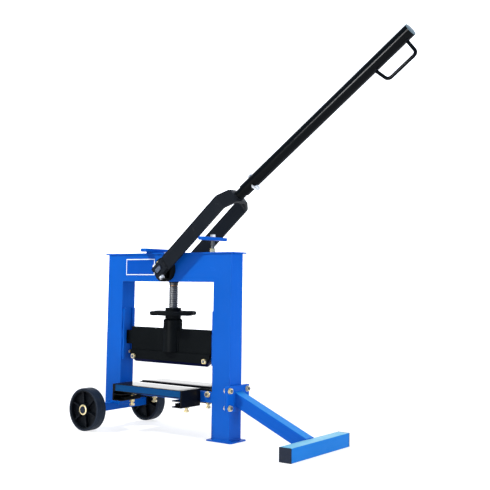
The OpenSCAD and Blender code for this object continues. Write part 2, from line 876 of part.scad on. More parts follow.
module grip_loop() {
    far = handle_s + handle_l - loop_end;
    near = far - loop_l;
    root = -handle_d / 2 + handle_wall / 2;
    line = [[near - loop_flare, root], [near, -loop_drop], [far, -loop_drop], [far - loop_lean, root]];
    color(black) on_lever() on_handle() difference() {
        rotate([90, 0, 0]) bent_bar(line, loop_bend, loop_d);
        translate([near - 4 * loop_flare, 0, 0]) rotate([0, 90, 0])
            cylinder(d = handle_d + 2 * weld_gap, h = loop_l + 8 * loop_flare);
    }
}

// Spindle with the ring that takes the eccentric at its head
module spindle() {
    end_chamfer = 2;
    color(steel) at_spindle() translate([0, 0, ecc_z]) difference() {
        union() {
            bar_y(2 * yoke_r, -yoke_w / 2, yoke_w / 2);
            translate([0, 0, end_chamfer - spindle_l])
                cylinder(d = spindle_d, h = spindle_l - end_chamfer - ecc_r);
            translate([0, 0, -spindle_l])
                cylinder(d1 = spindle_d - 2 * end_chamfer, d2 = spindle_d, h = end_chamfer);
        }
        bar_y(2 * (ecc_r + yoke_clear), -spindle_d, spindle_d);
    }
}

// Handwheel nut: lobed rim, hub, neck and a grooved spigot that turns in the sleeve
module handwheel() {
    r = handwheel_d / 2;
    round_r = handwheel_t / 2;
    dish = 2;
    scallop = 0.55 * 2 * PI * r / lobe_count;
    color(black) at_spindle() translate([0, 0, handwheel_z]) difference() {
        union() {
            difference() {
                rotate_extrude() union() {
                    polygon([[0, -round_r + dish], [hub_d / 2, -round_r], [r - round_r, -round_r],
                             [r - round_r, round_r], [hub_d / 2, round_r - dish], [0, round_r - dish]]);
                    translate([r - round_r, 0]) intersection() {
                        circle(r = round_r);
                        translate([0, -round_r]) square(2 * round_r);
                    }
                }
                for (i = [0:lobe_count - 1]) rotate(360 / lobe_count * (i + 0.5))
                    translate([r + 0.8 * scallop, 0, -handwheel_t])
                        cylinder(r = scallop, h = 2 * handwheel_t);
            }
            translate([0, 0, -neck_l]) cylinder(d = hub_d, h = neck_l + hub_rise);
            translate([0, 0, -neck_l - spigot_nut_l]) cylinder(d = spigot_nut_d, h = spigot_nut_l);
        }
        translate([0, 0, -neck_l - spigot_nut_l - 1])
            cylinder(d = spindle_d + 2 * run_fit, h = neck_l + spigot_nut_l + hub_rise + 2);
        translate([0, 0, groove_z - groove_l / 2 - handwheel_z]) difference() {
            cylinder(d = spigot_nut_d + 1, h = groove_l);
            translate([0, 0, -1]) cylinder(d = spigot_nut_d - 2 * groove_depth, h = groove_l + 2);
        }
    }
}

// Carrier: plate with guide tabs, notched for the sleeve
module carrier_plate() {
    notch = sleeve_d / 2 + weld_gap;
    tab_end = clear_w / 2 - tab_clear;
    color(black) at_press() difference() {
        union() {
            box([-plate_half, -plate_t / 2, plate_bottom], [plate_half, plate_t / 2, plate_top]);
            both_x() box([plate_half, -plate_t / 2, tab_mid - tab_h / 2],
                         [tab_end, plate_t / 2, tab_mid + tab_h / 2]);
        }
        box([spindle_x - notch, -plate_t, sleeve_bottom], [spindle_x + notch, plate_t, plate_top + 1]);
    }
}

module sleeve_screw_places() {
    for (a = [60, 120]) rotate(a) translate([0, 0, groove_z]) rotate([0, 90, 0]) children();
}

module carrier_sleeve() {
    r = sleeve_d / 2;
    face = sleeve_top - pass_gap;
    floor_z = sleeve_top - spigot_nut_l - pass_gap;
    pocket_r = spigot_nut_d / 2 + run_fit;
    color(black) at_spindle() difference() {
        rotate_extrude()
            polygon([[sleeve_bore / 2, sleeve_bottom], [r, sleeve_bottom], [r, face - sleeve_chamfer],
                     [r - sleeve_chamfer, face], [pocket_r, face], [pocket_r, floor_z],
                     [sleeve_bore / 2, floor_z]]);
        sleeve_screw_places() translate([0, 0, sleeve_bore / 2]) cylinder(d = m6 + 2 * run_fit, h = sleeve_d);
    }
}

module sleeve_screws() {
    tip = spigot_nut_d / 2 - groove_depth + pass_gap;
    tip_d = groove_l - 2 * pass_gap;
    color(steel) at_spindle() sleeve_screw_places() {
        translate([0, 0, tip]) cylinder(d = tip_d, h = sleeve_d / 2 - tip);
        translate([0, 0, spigot_nut_d / 2 + 1]) cylinder(d = m6, h = sleeve_d / 2 - spigot_nut_d / 2 - 1);
    }
}

// Cheeks that hold the upper blade under the plate
module cheek() {
    color(black) at_press() difference() {
        translate([0, plate_t / 2 + cheek_t, 0]) rotate([90, 0, 0]) linear_extrude(cheek_t)
            polygon([[-plate_half, cheek_top], [plate_half, cheek_top],
                     [plate_half, cheek_bottom + cheek_chamfer],
                     [plate_half - cheek_chamfer, cheek_bottom],
                     [cheek_chamfer - plate_half, cheek_bottom],
                     [-plate_half, cheek_bottom + cheek_chamfer]]);
        blade_bolt_holes();
    }
}

module blade_bolt_holes() {
    both_x() translate([blade_bolt_x, 0, blade_bolt_z])
        bar_y(m8 + 2 * bolt_gap, -plate_t - cheek_t, plate_t + cheek_t);
}

module front_cheek() mirror([0, 1, 0]) cheek();
module rear_cheek() cheek();

module upper_blade() {
    color(navy) at_press() difference() {
        translate([0, 0, blade_bottom]) difference() {
            blade_bar(plate_half, blade_h);
            corner_cut(plate_half, cheek_chamfer, cheek_chamfer);
        }
        blade_bolt_holes();
    }
}

module blade_bolts() {
    grip = plate_t + 2 * cheek_t;
    color(zinc) at_press() both_x() translate([blade_bolt_x, grip / 2, blade_bolt_z])
        rotate([90, 0, 0]) bolt(m8, grip, bolt_spare);
}

// Screws in the ends of the carrier plate that keep the cheeks from creeping
module side_screws() {
    z = plate_bottom + m6;
    head_h = head_part * m6;
    shank = plate_side - guide_t - head_h - side_gap;
    color(zinc) at_press() both_x() translate([plate_half, 0, z]) rotate([0, 90, 0]) {
        cylinder(d = m5, h = shank);
        translate([0, 0, shank]) hex(m5, head_h);
    }
}

// Table: bent sheet with a skirt outside and an end rail with an inward lip on each side
module table() {
    color(black) at_press() difference() {
        union() {
            box([-table_half, table_in, table_under], [table_half, table_out, table_z]);
            box([-table_half, table_out - table_t, table_z - skirt_h], [table_half, table_out, table_under]);
            both_x() {
                box([table_half - table_t, rail_in, lip_z], [table_half, table_out, table_under]);
                table_lip(lip_z);
                table_lip(upper_lip_z);
            }
        }
        table_bolt_places() translate([0, 0, lip_z - 1]) cylinder(d = m8 + 2 * run_fit, h = lip_t + 2);
        table_bolt_places() translate([0, 0, upper_lip_z - 1])
            cylinder(d = spring_d + spring_wire + 2 * spring_pass, h = lip_t + 2);
    }
}

module table_lip(z) {
    box([table_half - table_t - lip_w, rail_in, z], [table_half - table_t, table_out, z + lip_t]);
}

module table_bolt_places() {
    both_x() translate([table_bolt_x, table_bolt_y, 0]) children();
}

// Coloured strip on the table's skirt
module table_strip() {
    top = table_z - strip_drop;
    inset = table_half - table_t;
    color(teal) at_press()
        box([strip_short - inset, table_out, top - strip_h], [inset, table_out + strip_t, top]);
}

// Guide bolts: locked under the lower lip, free in the bar, with the spring round the upper end
module table_bolts() {
    head_h = head_part * m8;
    nut_h = nut_part * m8;
    head_z = lip_z - table_bolt_hang;
    color(zinc) at_press() table_bolt_places() {
        translate([0, 0, head_z]) hex(m8, head_h);
        translate([0, 0, lip_z - nut_h]) hex(m8, nut_h);
        translate([0, 0, head_z]) cylinder(d = m8, h = table_under - head_z);
    }
}

// Coil spring as one tube: rings of six points that climb a helix
spring_rings = 8;
spring_sides = 6;
spring_low = lower_z + spring_seat + spring_wire / 2;
spring_high = table_under - spring_seat - spring_wire / 2;
spring_count = spring_turns * spring_rings;
function spring_point(i) = [
    spring_d / 2 * cos(360 * i / spring_rings),
    spring_d / 2 * sin(360 * i / spring_rings),
    spring_low + (spring_high - spring_low) * i / spring_count
];
function spring_ring(i) = [
    for (k = [0:spring_sides - 1])
        let (a = 360 * i / spring_rings, b = 360 * k / spring_sides)
        spring_point(i) + spring_wire / 2 * [cos(b) * cos(a), cos(b) * sin(a), sin(b)]
];
spring_self_gap = min([for (i = [0:spring_count - spring_rings])
    norm(spring_point(i + spring_rings) - spring_point(i))]) - spring_wire;
echo(spring_self_gap = spring_self_gap);

module spring_tube() {
    points = [for (i = [0:spring_count]) each spring_ring(i)];
    quads = [for (i = [0:spring_count - 1]) for (k = [0:spring_sides - 1])
        let (n = (k + 1) % spring_sides, a = i * spring_sides, b = a + spring_sides)
        each [[a + k, a + n, b + n], [a + k, b + n, b + k]]];
    last = spring_count * spring_sides;
    ends = [for (k = [1:spring_sides - 2]) each [[0, k + 1, k], [last, last + k, last + k + 1]]];
    polyhedron(points = points, faces = concat(quads, ends));
}

module table_springs() {
    color(steel) at_press() table_bolt_places() spring_tube();
}

module front_table() mirror([0, 1, 0]) table();
module front_table_strip() mirror([0, 1, 0]) table_strip();
module front_table_bolts() mirror([0, 1, 0]) table_bolts();
module front_table_springs() mirror([0, 1, 0]) table_springs();
module rear_table() table();
module rear_table_strip() table_strip();
module rear_table_bolts() table_bolts();
module rear_table_springs() table_springs();

// Wheels: a tyre on a ribbed plastic centre, standing at the rear end of the axle
module tyre() {
    half = wheel_w / 2;
    inner = rim_r + run_fit;
    color(rubber) at_axle() translate([0, wheel_y, 0]) rotate([90, 0, 0]) rotate_extrude($fn = 96) {
        translate([inner, -half]) square([wheel_d / 2 - shoulder_r - inner, wheel_w]);
        translate([inner, shoulder_r - half]) square([wheel_d / 2 - inner, wheel_w - 2 * shoulder_r]);
        for (z = [shoulder_r - half, half - shoulder_r])
            translate([wheel_d / 2 - shoulder_r, z]) circle(r = shoulder_r);
    }
}

module wheel_centre() {
    half = wheel_w / 2;
    color(rubber) at_axle() translate([0, wheel_y, 0]) rotate([90, 0, 0]) difference() {
        union() {
            rotate_extrude($fn = 96) {
                translate([rim_r - rim_t, rim_sunk - half]) square([rim_t, wheel_w - 2 * rim_sunk]);
                translate([0, -web_t / 2]) square([rim_r - rim_t / 2, web_t]);
                translate([0, -half]) square([boss_r, wheel_w]);
            }
            for (i = [0:rib_count - 1]) rotate(rib_start + 360 / rib_count * i)
                box([boss_r - 2, -rib_t / 2, rib_sunk - half],
                    [rim_r - rim_t / 2, rib_t / 2, half - rib_sunk]);
        }
        translate([0, 0, -half - 1]) cylinder(d = axle_d + 2 * run_fit, h = wheel_w + 2);
    }
}

module front_tyre() mirror([0, 1, 0]) tyre();
module front_wheel() mirror([0, 1, 0]) wheel_centre();
module rear_tyre() tyre();
module rear_wheel() wheel_centre();

left_post();
right_post();
top_beam();
cap_strip();
base_plate();
lower_beam();
left_guide();
right_guide();
axle_bar_blue();
axle_stubs();
axle_rings();
front_bearing();
rear_bearing();
bearing_screws();
spindle_bush();
back_rest();
rest_bar();
rest_bolt();
lower_blade();
lower_blade_bolts();
blade_jacks();
table_arms();
bracket_plate();
outrigger_flange();
outrigger_arm();
outrigger_foot();
foot_plugs();
outrigger_bolts();
eccentric_shaft();
lever_fork();
pinch_bolts();
lever_spigot();
lever_handle();
handle_plug();
handle_bolt();
grip_loop();
spindle();
handwheel();
carrier_plate();
carrier_sleeve();
sleeve_screws();
front_cheek();
rear_cheek();
upper_blade();
blade_bolts();
side_screws();
front_table();
front_table_strip();
front_table_bolts();
front_table_springs();
rear_table();
rear_table_strip();
rear_table_bolts();
rear_table_springs();
front_tyre();
front_wheel();
rear_tyre();
rear_wheel();
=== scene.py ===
import math

import bmesh
import bpy
import numpy as np
from mathutils import Matrix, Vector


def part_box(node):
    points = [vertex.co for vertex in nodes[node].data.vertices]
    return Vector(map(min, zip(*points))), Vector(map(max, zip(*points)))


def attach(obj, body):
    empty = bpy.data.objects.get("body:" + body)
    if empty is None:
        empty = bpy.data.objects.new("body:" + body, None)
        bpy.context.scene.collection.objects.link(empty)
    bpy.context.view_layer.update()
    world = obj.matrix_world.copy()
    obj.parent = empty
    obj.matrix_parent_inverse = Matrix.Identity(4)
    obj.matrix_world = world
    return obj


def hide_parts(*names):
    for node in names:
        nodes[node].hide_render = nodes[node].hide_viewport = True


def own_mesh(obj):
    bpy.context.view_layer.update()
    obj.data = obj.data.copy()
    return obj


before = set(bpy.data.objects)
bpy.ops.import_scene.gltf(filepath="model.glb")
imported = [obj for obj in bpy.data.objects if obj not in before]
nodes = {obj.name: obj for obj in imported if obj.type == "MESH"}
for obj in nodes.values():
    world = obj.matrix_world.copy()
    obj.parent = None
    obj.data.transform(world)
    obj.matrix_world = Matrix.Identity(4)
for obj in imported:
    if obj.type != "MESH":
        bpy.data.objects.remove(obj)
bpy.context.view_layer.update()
scene = bpy.context.scene
mm = 0.001
pressX = -200.0  # press axis in millimetres, the posts stand 200 either side of it
bothSides = (("front", -1), ("rear", 1))  # name and sign of y
alongX, alongY, alongZ = np.eye(3)
midNoise, mostNoise = (0.35, 0.65), (0.3, 0.7)  # bands that hold much and most of a noise's values


# material helpers, all of them driven by object coordinates
def newMaterial(name):
    mat = bpy.data.materials.new(name)
    mat.use_nodes = True
    tree = mat.node_tree
    tree.nodes.clear()
    out = tree.nodes.new("ShaderNodeOutputMaterial")
    shader = tree.nodes.new("ShaderNodeBsdfPrincipled")
    tree.links.new(shader.outputs["BSDF"], out.inputs["Surface"])
    coords = tree.nodes.new("ShaderNodeTexCoord").outputs["Object"]
    return mat, tree, shader, coords


def scaled(tree, coords, scale):
    node = tree.nodes.new("ShaderNodeMapping")
    node.inputs["Scale"].default_value = scale
    tree.links.new(coords, node.inputs["Vector"])
    return node.outputs["Vector"]


def noise(tree, coords, scale, detail=4.0, rough=0.55):
    node = tree.nodes.new("ShaderNodeTexNoise")
    node.inputs["Scale"].default_value = scale
    node.inputs["Detail"].default_value = detail
    node.inputs["Roughness"].default_value = rough
    tree.links.new(coords, node.inputs["Vector"])
    return node.outputs["Fac"]


def remap(tree, value, low, high, toLow=0.0, toHigh=1.0):
    node = tree.nodes.new("ShaderNodeMapRange")
    for key, number in (("From Min", low), ("From Max", high), ("To Min", toLow), ("To Max", toHigh)):
        node.inputs[key].default_value = number
    tree.links.new(value, node.inputs["Value"])
    return node.outputs["Result"]


def mixColour(tree, factor, first, second):
    node = tree.nodes.new("ShaderNodeMix")
    node.data_type = "RGBA"
    tree.links.new(factor, node.inputs[0])
    for socket, value in ((node.inputs[6], first), (node.inputs[7], second)):
        if isinstance(value, (tuple, list)):
            socket.default_value = (*value, 1.0)
        else:
            tree.links.new(value, socket)
    return node.outputs[2]


def times(tree, a, b):
    node = tree.nodes.new("ShaderNodeMath")
    node.operation = "MULTIPLY"
    tree.links.new(a, node.inputs[0])
    tree.links.new(b, node.inputs[1])
    return node.outputs[0]


def heightOf(tree, vector):
    node = tree.nodes.new("ShaderNodeSeparateXYZ")
    tree.links.new(vector, node.inputs[0])
    return node.outputs["Z"]


def addBump(tree, shader, height, strength, distance):
    node = tree.nodes.new("ShaderNodeBump")
    node.inputs["Strength"].default_value = strength
    node.inputs["Distance"].default_value = distance
    tree.links.new(height, node.inputs["Height"])
    tree.links.new(node.outputs["Normal"], shader.inputs["Normal"])


# how every paint, plating and moulding breaks up, apart from its own dictionary
coatSet = dict(rubStretch=(1.0, 1.0, 2.5), rubSoft=0.08, dustScale=60.0, dustBand=(0.4, 0.7), dustLeast=0.2,
               litTopBand=(0.5, 0.9), grainScale=35.0, peelHeight=0.0002, ior=1.5)
platingSet = dict(spotBand=(0.58, 0.7), streakHeight=0.0001)
mouldSet = dict(scuffBand=(0.55, 0.7), grainHeight=0.0003)


def powderCoat(name, s):
    # sprayed paint: cloudy tone, orange peel, rubbed patches and dust low down; where given, a painted highlight on
    # faces that look up
    mat, tree, shader, coords = newMaterial(name)
    cloud = noise(tree, coords, s["cloudScale"], 3.0)
    tone = mixColour(tree, remap(tree, cloud, *midNoise), s["colour"], s["shade"])
    rub = noise(tree, scaled(tree, coords, coatSet["rubStretch"]), s["rubScale"], 6.0, 0.65)
    rubbed = remap(tree, rub, s["rubFrom"], s["rubFrom"] + coatSet["rubSoft"], 0.0, s["rubMix"])
    tone = mixColour(tree, rubbed, tone, s["rubColour"])
    low = remap(tree, heightOf(tree, coords), 0.0, s["dustHeight"], s["dustMix"], 0.0)
    clumps = remap(tree, noise(tree, coords, coatSet["dustScale"], 6.0), *coatSet["dustBand"], coatSet["dustLeast"])
    tone = mixColour(tree, times(tree, low, clumps), tone, s["dustColour"])
    if "litTopColour" in s:  # painted highlight: lighter where the face looks up, standing in for the light from above
        facing = heightOf(tree, coords.node.outputs["Normal"])
        tone = mixColour(tree, remap(tree, facing, *coatSet["litTopBand"]), tone, s["litTopColour"])
    tree.links.new(tone, shader.inputs["Base Color"])
    grain = noise(tree, coords, coatSet["grainScale"], 5.0)
    tree.links.new(remap(tree, grain, *mostNoise, s["roughLow"], s["roughHigh"]), shader.inputs["Roughness"])
    shader.inputs["IOR"].default_value = coatSet["ior"]
    shader.inputs["Specular IOR Level"].default_value = s["spec"]
    addBump(tree, shader, noise(tree, coords, s["peelScale"], 2.0), s["peel"], coatSet["peelHeight"])
    return mat


def platedMetal(name, s):
    # plated or turned metal: drifting tint, fine streaks and a few dull spots
    mat, tree, shader, coords = newMaterial(name)
    drift = noise(tree, coords, s["driftScale"], 3.0)
    tone = mixColour(tree, remap(tree, drift, *midNoise), s["colour"], s["tint"])
    dull = noise(tree, coords, s["spotScale"], 5.0, 0.6)
    tone = mixColour(tree, remap(tree, dull, *platingSet["spotBand"], 0.0, s["spotMix"]), tone, s["spotColour"])
    tree.links.new(tone, shader.inputs["Base Color"])
    shader.inputs["Metallic"].default_value = s["metal"]
    streak = noise(tree, scaled(tree, coords, s["streak"]), s["streakScale"], 3.0)
    tree.links.new(remap(tree, streak, *mostNoise, s["roughLow"], s["roughHigh"]), shader.inputs["Roughness"])
    addBump(tree, shader, streak, s["bump"], platingSet["streakHeight"])
    return mat


def moulded(name, s):
    # rubber or plastic: soft tone, mould grain and scuffs that dull it
    mat, tree, shader, coords = newMaterial(name)
    cloud = noise(tree, coords, s["cloudScale"], 4.0)
    tone = mixColour(tree, remap(tree, cloud, *mostNoise), s["colour"], s["shade"])
    worn = noise(tree, coords, s["scuffScale"], 7.0, 0.7)
    tone = mixColour(tree, remap(tree, worn, *mouldSet["scuffBand"], 0.0, s["scuffMix"]), tone, s["scuffColour"])
    tree.links.new(tone, shader.inputs["Base Color"])
    grain = noise(tree, coords, s["grainScale"], 3.0)
    tree.links.new(remap(tree, grain, *mostNoise, s["roughLow"], s["roughHigh"]), shader.inputs["Roughness"])
    shader.inputs["Specular IOR Level"].default_value = s["spec"]
    addBump(tree, shader, grain, s["bump"], mouldSet["grainHeight"])
    return mat


# blue paints: the arm and the foot differ from the frame's, the foot's a lighter copy that paints in the stronger light
# it gets, and both carry a painted highlight on faces that look up
blueCoat = dict(
    colour=(0.0030, 0.093, 0.462), shade=(0.0020, 0.085, 0.425), cloudScale=6.0,
    rubScale=14.0, rubFrom=0.68, rubMix=0.35, rubColour=(0.03, 0.16, 0.62),
    dustHeight=0.06, dustMix=0.02, dustColour=(0.15, 0.32, 0.55), spec=0.06,
    roughLow=0.30, roughHigh=0.42, peelScale=420.0, peel=0.10)
bluePaint = powderCoat("bluePaint", blueCoat)
# the arm's blue is the frame's with a painted highlight on its upward faces
armBlueLitTop = powderCoat("armBlueLitTop", dict(blueCoat, litTopColour=(0.003, 0.155, 0.46), spec=0.048))
# painted light: the foot's blue is lighter than the frame's to stand in for the brighter light on it
footBlueLit = powderCoat("footBlueLit", dict(
    blueCoat, colour=(0.0050, 0.144, 0.468), shade=(0.0040, 0.134, 0.442), litTopColour=(0.091, 0.312, 0.44),
    rubColour=(0.03, 0.20, 0.62)))

# black paints: the satin one is the base, the others say where they differ
blackCoat = dict(
    colour=(0.0038, 0.0048, 0.0054), shade=(0.0050, 0.0062, 0.0068), cloudScale=9.0,
    rubScale=18.0, rubFrom=0.66, rubMix=0.30, rubColour=(0.014, 0.015, 0.016),
    dustHeight=0.05, dustMix=0.08, dustColour=(0.10, 0.10, 0.10), spec=0.022,
    roughLow=0.36, roughHigh=0.50, peelScale=300.0, peel=0.14)
blackSatin = powderCoat("blackSatin", blackCoat)
blackGloss = powderCoat("blackGloss", dict(
    blackCoat, colour=(0.0085, 0.0098, 0.0122), shade=(0.0105, 0.0120, 0.0145), cloudScale=8.0,
    rubScale=20.0, rubFrom=0.70, rubMix=0.25, rubColour=(0.016, 0.017, 0.019), dustMix=0.10, spec=0.09,
    roughLow=0.18, roughHigh=0.28, peelScale=380.0, peel=0.10))
wheelBlack = powderCoat("wheelBlack", dict(
    blackCoat, colour=(0.0050, 0.0058, 0.0068), shade=(0.0066, 0.0074, 0.0084), dustMix=0.0, spec=0.012,
    roughLow=0.50, roughHigh=0.62))
handleBlack = powderCoat("handleBlack", dict(
    blackCoat, colour=(0.0022, 0.0028, 0.0034), shade=(0.0032, 0.0040, 0.0046), cloudScale=7.0,
    rubScale=16.0, rubFrom=0.68, rubColour=(0.012, 0.013, 0.015), dustMix=0.05, spec=0.055,
    roughLow=0.13, roughHigh=0.19, peelScale=340.0, peel=0.05))
tableCoat = dict(
    blackCoat, colour=(0.0022, 0.0023, 0.0026), shade=(0.0032, 0.0033, 0.0036),
    rubScale=24.0, rubMix=0.20, rubColour=(0.012, 0.012, 0.013), spec=0.10,
    roughLow=0.26, roughHigh=0.38, peelScale=260.0, peel=0.08)
tableBlack = powderCoat("tableBlack", tableCoat)
tableTopGloss = powderCoat("tableTopGloss", dict(
    tableCoat, colour=(0.0060, 0.0062, 0.0066), shade=(0.0080, 0.0082, 0.0086), rubColour=(0.025, 0.025, 0.027),
    spec=0.001, roughLow=0.06, roughHigh=0.10, peel=0.03))
bladeNavy = powderCoat("bladeNavy", dict(
    blackCoat, colour=(0.0030, 0.0045, 0.042), shade=(0.0026, 0.0038, 0.032), cloudScale=10.0,
    rubScale=30.0, rubFrom=0.64, rubColour=(0.012, 0.015, 0.05), dustMix=0.05, spec=0.12,
    roughLow=0.28, roughHigh=0.42, peelScale=320.0, peel=0.08))

# strip and label paints
tealCoat = dict(
    colour=(0.0010, 0.054, 0.175), shade=(0.0008, 0.046, 0.150), cloudScale=9.0,
    rubScale=26.0, rubFrom=0.68, rubMix=0.25, rubColour=(0.01, 0.08, 0.21),
    dustHeight=0.05, dustMix=0.05, dustColour=(0.2, 0.25, 0.3), spec=0.05,
    roughLow=0.34, roughHigh=0.46, peelScale=360.0, peel=0.08)
tealPaint = powderCoat("tealPaint", tealCoat)
labelBlue = powderCoat("labelBlue", dict(
    tealCoat, colour=(0.0010, 0.070, 0.40), shade=(0.0010, 0.062, 0.36), cloudScale=12.0,
    rubScale=40.0, rubFrom=0.70, rubMix=0.20, rubColour=(0.03, 0.13, 0.45), dustMix=0.0, spec=0.06,
    roughLow=0.30, roughHigh=0.38, peelScale=500.0, peel=0.03))
labelWhite = powderCoat("labelWhite", dict(
    tealCoat, colour=(0.80, 0.84, 0.90), shade=(0.74, 0.79, 0.86), cloudScale=20.0,
    rubScale=60.0, rubColour=(0.55, 0.63, 0.78), dustMix=0.0, spec=0.3,
    roughLow=0.32, roughHigh=0.42, peelScale=500.0, peel=0.03))

# platings and bare steels
zincCoat = dict(
    metal=0.72, colour=(0.90, 0.70, 0.30), tint=(0.86, 0.76, 0.50), driftScale=90.0,
    spotScale=260.0, spotMix=0.4, spotColour=(0.55, 0.40, 0.22),
    streak=(1.0, 1.0, 1.0), streakScale=500.0, roughLow=0.22, roughHigh=0.38, bump=0.05)
yellowZinc = platedMetal("yellowZinc", zincCoat)
silverZinc = platedMetal("silverZinc", dict(
    zincCoat, metal=0.40, colour=(0.86, 0.87, 0.86), tint=(0.76, 0.77, 0.78),
    spotScale=240.0, spotMix=0.3, spotColour=(0.35, 0.36, 0.38), roughHigh=0.36))
turnedCoat = dict(
    metal=0.75, colour=(0.175, 0.178, 0.178), tint=(0.135, 0.138, 0.138), driftScale=70.0,
    spotScale=260.0, spotMix=0.3, spotColour=(0.12, 0.11, 0.10),
    streak=(1.0, 1.0, 10.0), streakScale=180.0, roughLow=0.46, roughHigh=0.62, bump=0.06)
turnedSteel = platedMetal("turnedSteel", turnedCoat)
# painted shade: a dark steel for the thread's grooves and for the neck under the beam
paintedShadeSteel = platedMetal("paintedShadeSteel", dict(
    turnedCoat, colour=(0.050, 0.052, 0.055), tint=(0.034, 0.034, 0.035), spotColour=(0.03, 0.025, 0.02)))
darkSteel = platedMetal("darkSteel", dict(
    metal=1.0, colour=(0.16, 0.165, 0.175), tint=(0.21, 0.215, 0.225), driftScale=60.0,
    spotScale=220.0, spotMix=0.35, spotColour=(0.09, 0.085, 0.08),
    streak=(1.0, 1.0, 8.0), streakScale=160.0, roughLow=0.28, roughHigh=0.46, bump=0.08))
oilyBrown = platedMetal("oilyBrown", dict(
    metal=1.0, colour=(0.16, 0.085, 0.045), tint=(0.22, 0.13, 0.08), driftScale=120.0,
    spotScale=300.0, spotMix=0.4, spotColour=(0.06, 0.04, 0.03),
    streak=(1.0, 1.0, 1.0), streakScale=300.0, roughLow=0.30, roughHigh=0.45, bump=0.05))
shaftSteel = platedMetal("shaftSteel", dict(
    metal=1.0, colour=(0.085, 0.100, 0.125), tint=(0.17, 0.19, 0.23), driftScale=170.0,
    spotScale=320.0, spotMix=0.6, spotColour=(0.06, 0.075, 0.10),
    streak=(1.0, 1.0, 1.0), streakScale=260.0, roughLow=0.25, roughHigh=0.48, bump=0.10))

# rubber and plastics
tyreRubber = moulded("tyreRubber", dict(
    colour=(0.0075, 0.0125, 0.0220), shade=(0.0110, 0.0170, 0.0280), cloudScale=18.0,
    scuffScale=40.0, scuffMix=0.3, scuffColour=(0.035, 0.037, 0.042),
    grainScale=300.0, roughLow=0.42, roughHigh=0.60, spec=0.09, bump=0.12))
plasticMould = dict(
    colour=(0.0026, 0.0038, 0.0058), shade=(0.0040, 0.0056, 0.0080), cloudScale=22.0,
    scuffScale=60.0, scuffMix=0.25, scuffColour=(0.025, 0.026, 0.03),
    grainScale=420.0, roughLow=0.34, roughHigh=0.48, spec=0.06, bump=0.08)
wheelPlastic = moulded("wheelPlastic", plasticMould)
plugPlastic = moulded("plugPlastic", dict(
    plasticMould, colour=(0.0070, 0.0120, 0.0260), shade=(0.0100, 0.0160, 0.0320), cloudScale=30.0,
    scuffScale=70.0, scuffColour=(0.03, 0.03, 0.032), roughLow=0.32, roughHigh=0.46, spec=0.12))
plugGrey = moulded("plugGrey", dict(
    plasticMould, colour=(0.10, 0.145, 0.165), shade=(0.075, 0.115, 0.135), cloudScale=40.0,
    scuffScale=80.0, scuffMix=0.3, scuffColour=(0.20, 0.25, 0.27), roughHigh=0.50, spec=0.3))

finishes = {
    bluePaint: "left_post right_post top_beam cap_strip base_plate lower_beam left_guide right_guide "
               "axle_bar_blue back_rest rest_bar bracket_plate outrigger_flange",
    armBlueLitTop: "outrigger_arm",
    footBlueLit: "outrigger_foot",
    blackGloss: "lever_fork",
    handleBlack: "lever_handle lever_spigot grip_loop",
    blackSatin: "front_bearing rear_bearing spindle_bush lower_blade table_arms carrier_plate "
                "carrier_sleeve front_cheek rear_cheek",
    wheelBlack: "handwheel",
    tableBlack: "front_table rear_table",
    bladeNavy: "upper_blade",
    tealPaint: "front_table_strip rear_table_strip",
    yellowZinc: "axle_rings bearing_screws rest_bolt lower_blade_bolts blade_jacks outrigger_bolts "
                "blade_bolts side_screws front_table_bolts rear_table_bolts",
    silverZinc: "handle_bolt sleeve_screws pinch_bolts",
    shaftSteel: "eccentric_shaft",
    turnedSteel: "spindle front_table_springs rear_table_springs",
    tyreRubber: "front_tyre rear_tyre",
    wheelPlastic: "front_wheel rear_wheel",
    plugPlastic: "foot_plugs axle_stubs",
    plugGrey: "handle_plug",
}
for mat, names in finishes.items():
    for name in names.split():
        nodes[name].data.materials.clear()
        nodes[name].data.materials.append(mat)
print("finishes on", sum(len(v.split()) for v in finishes.values()), "of", len(nodes), "nodes")


# mesh helpers: every new piece is a grid of points worked out as whole arrays
def gridFaces(count, wrapU, wrapV, start=0):
    nu, nv = count
    index = start + np.arange(nu * nv).reshape(nu, nv)
    rows = np.arange(nu if wrapU else nu - 1)
    cols = np.arange(nv if wrapV else nv - 1)
    r, c = np.meshgrid(rows, cols, indexing="ij")
    nextR, nextC = (r + 1) % nu, (c + 1) % nv
    return np.stack([index[r, c], index[nextR, c], index[nextR, nextC], index[r, nextC]], -1).reshape(-1, 4)


def around(pts, number=0):
    return pts, False, True, number  # a grid that closes round its section and is open along its length


def mergeDoubles(work, gap):
    bmesh.ops.remove_doubles(work, verts=work.verts, dist=gap)


def addPiece(name, grids, body, mats, replaced=(), sharp=35.0):
    # grids is a list of (points[u, v], wrapU, wrapV, material number or one for each face), in millimetres
    verts, faces, numbers, start = [], [], [], 0
    for pts, wrapU, wrapV, number in grids:
        quad = gridFaces(pts.shape[:2], wrapU, wrapV, start)
        verts.append(pts.reshape(-1, 3) * mm)
        faces.append(quad)
        numbers.append(np.broadcast_to(number, len(quad)))
        start += pts.shape[0] * pts.shape[1]
    mesh = bpy.data.meshes.new(name)
    mesh.from_pydata(np.concatenate(verts).tolist(), [], np.concatenate(faces).tolist())
    mesh.polygons.foreach_set("material_index", np.concatenate(numbers).astype(np.int32))
    work = bmesh.new()
    work.from_mesh(mesh)
    mergeDoubles(work, 1e-7)
    bmesh.ops.recalc_face_normals(work, faces=work.faces)
    work.to_mesh(mesh)
    work.free()
    return finishPiece(name, mesh, body, mats, replaced, sharp)


def finishPiece(name, mesh, body, mats, replaced, sharp):
    for mat in mats:
        mesh.materials.append(mat)
    mesh.polygons.foreach_set("use_smooth", np.ones(len(mesh.polygons), bool))
    mesh.set_sharp_from_angle(angle=math.radians(sharp))
    piece = bpy.data.objects.new(name, mesh)
    scene.collection.objects.link(piece)
    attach(piece, body)
    if replaced:
        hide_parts(*replaced)
    return piece


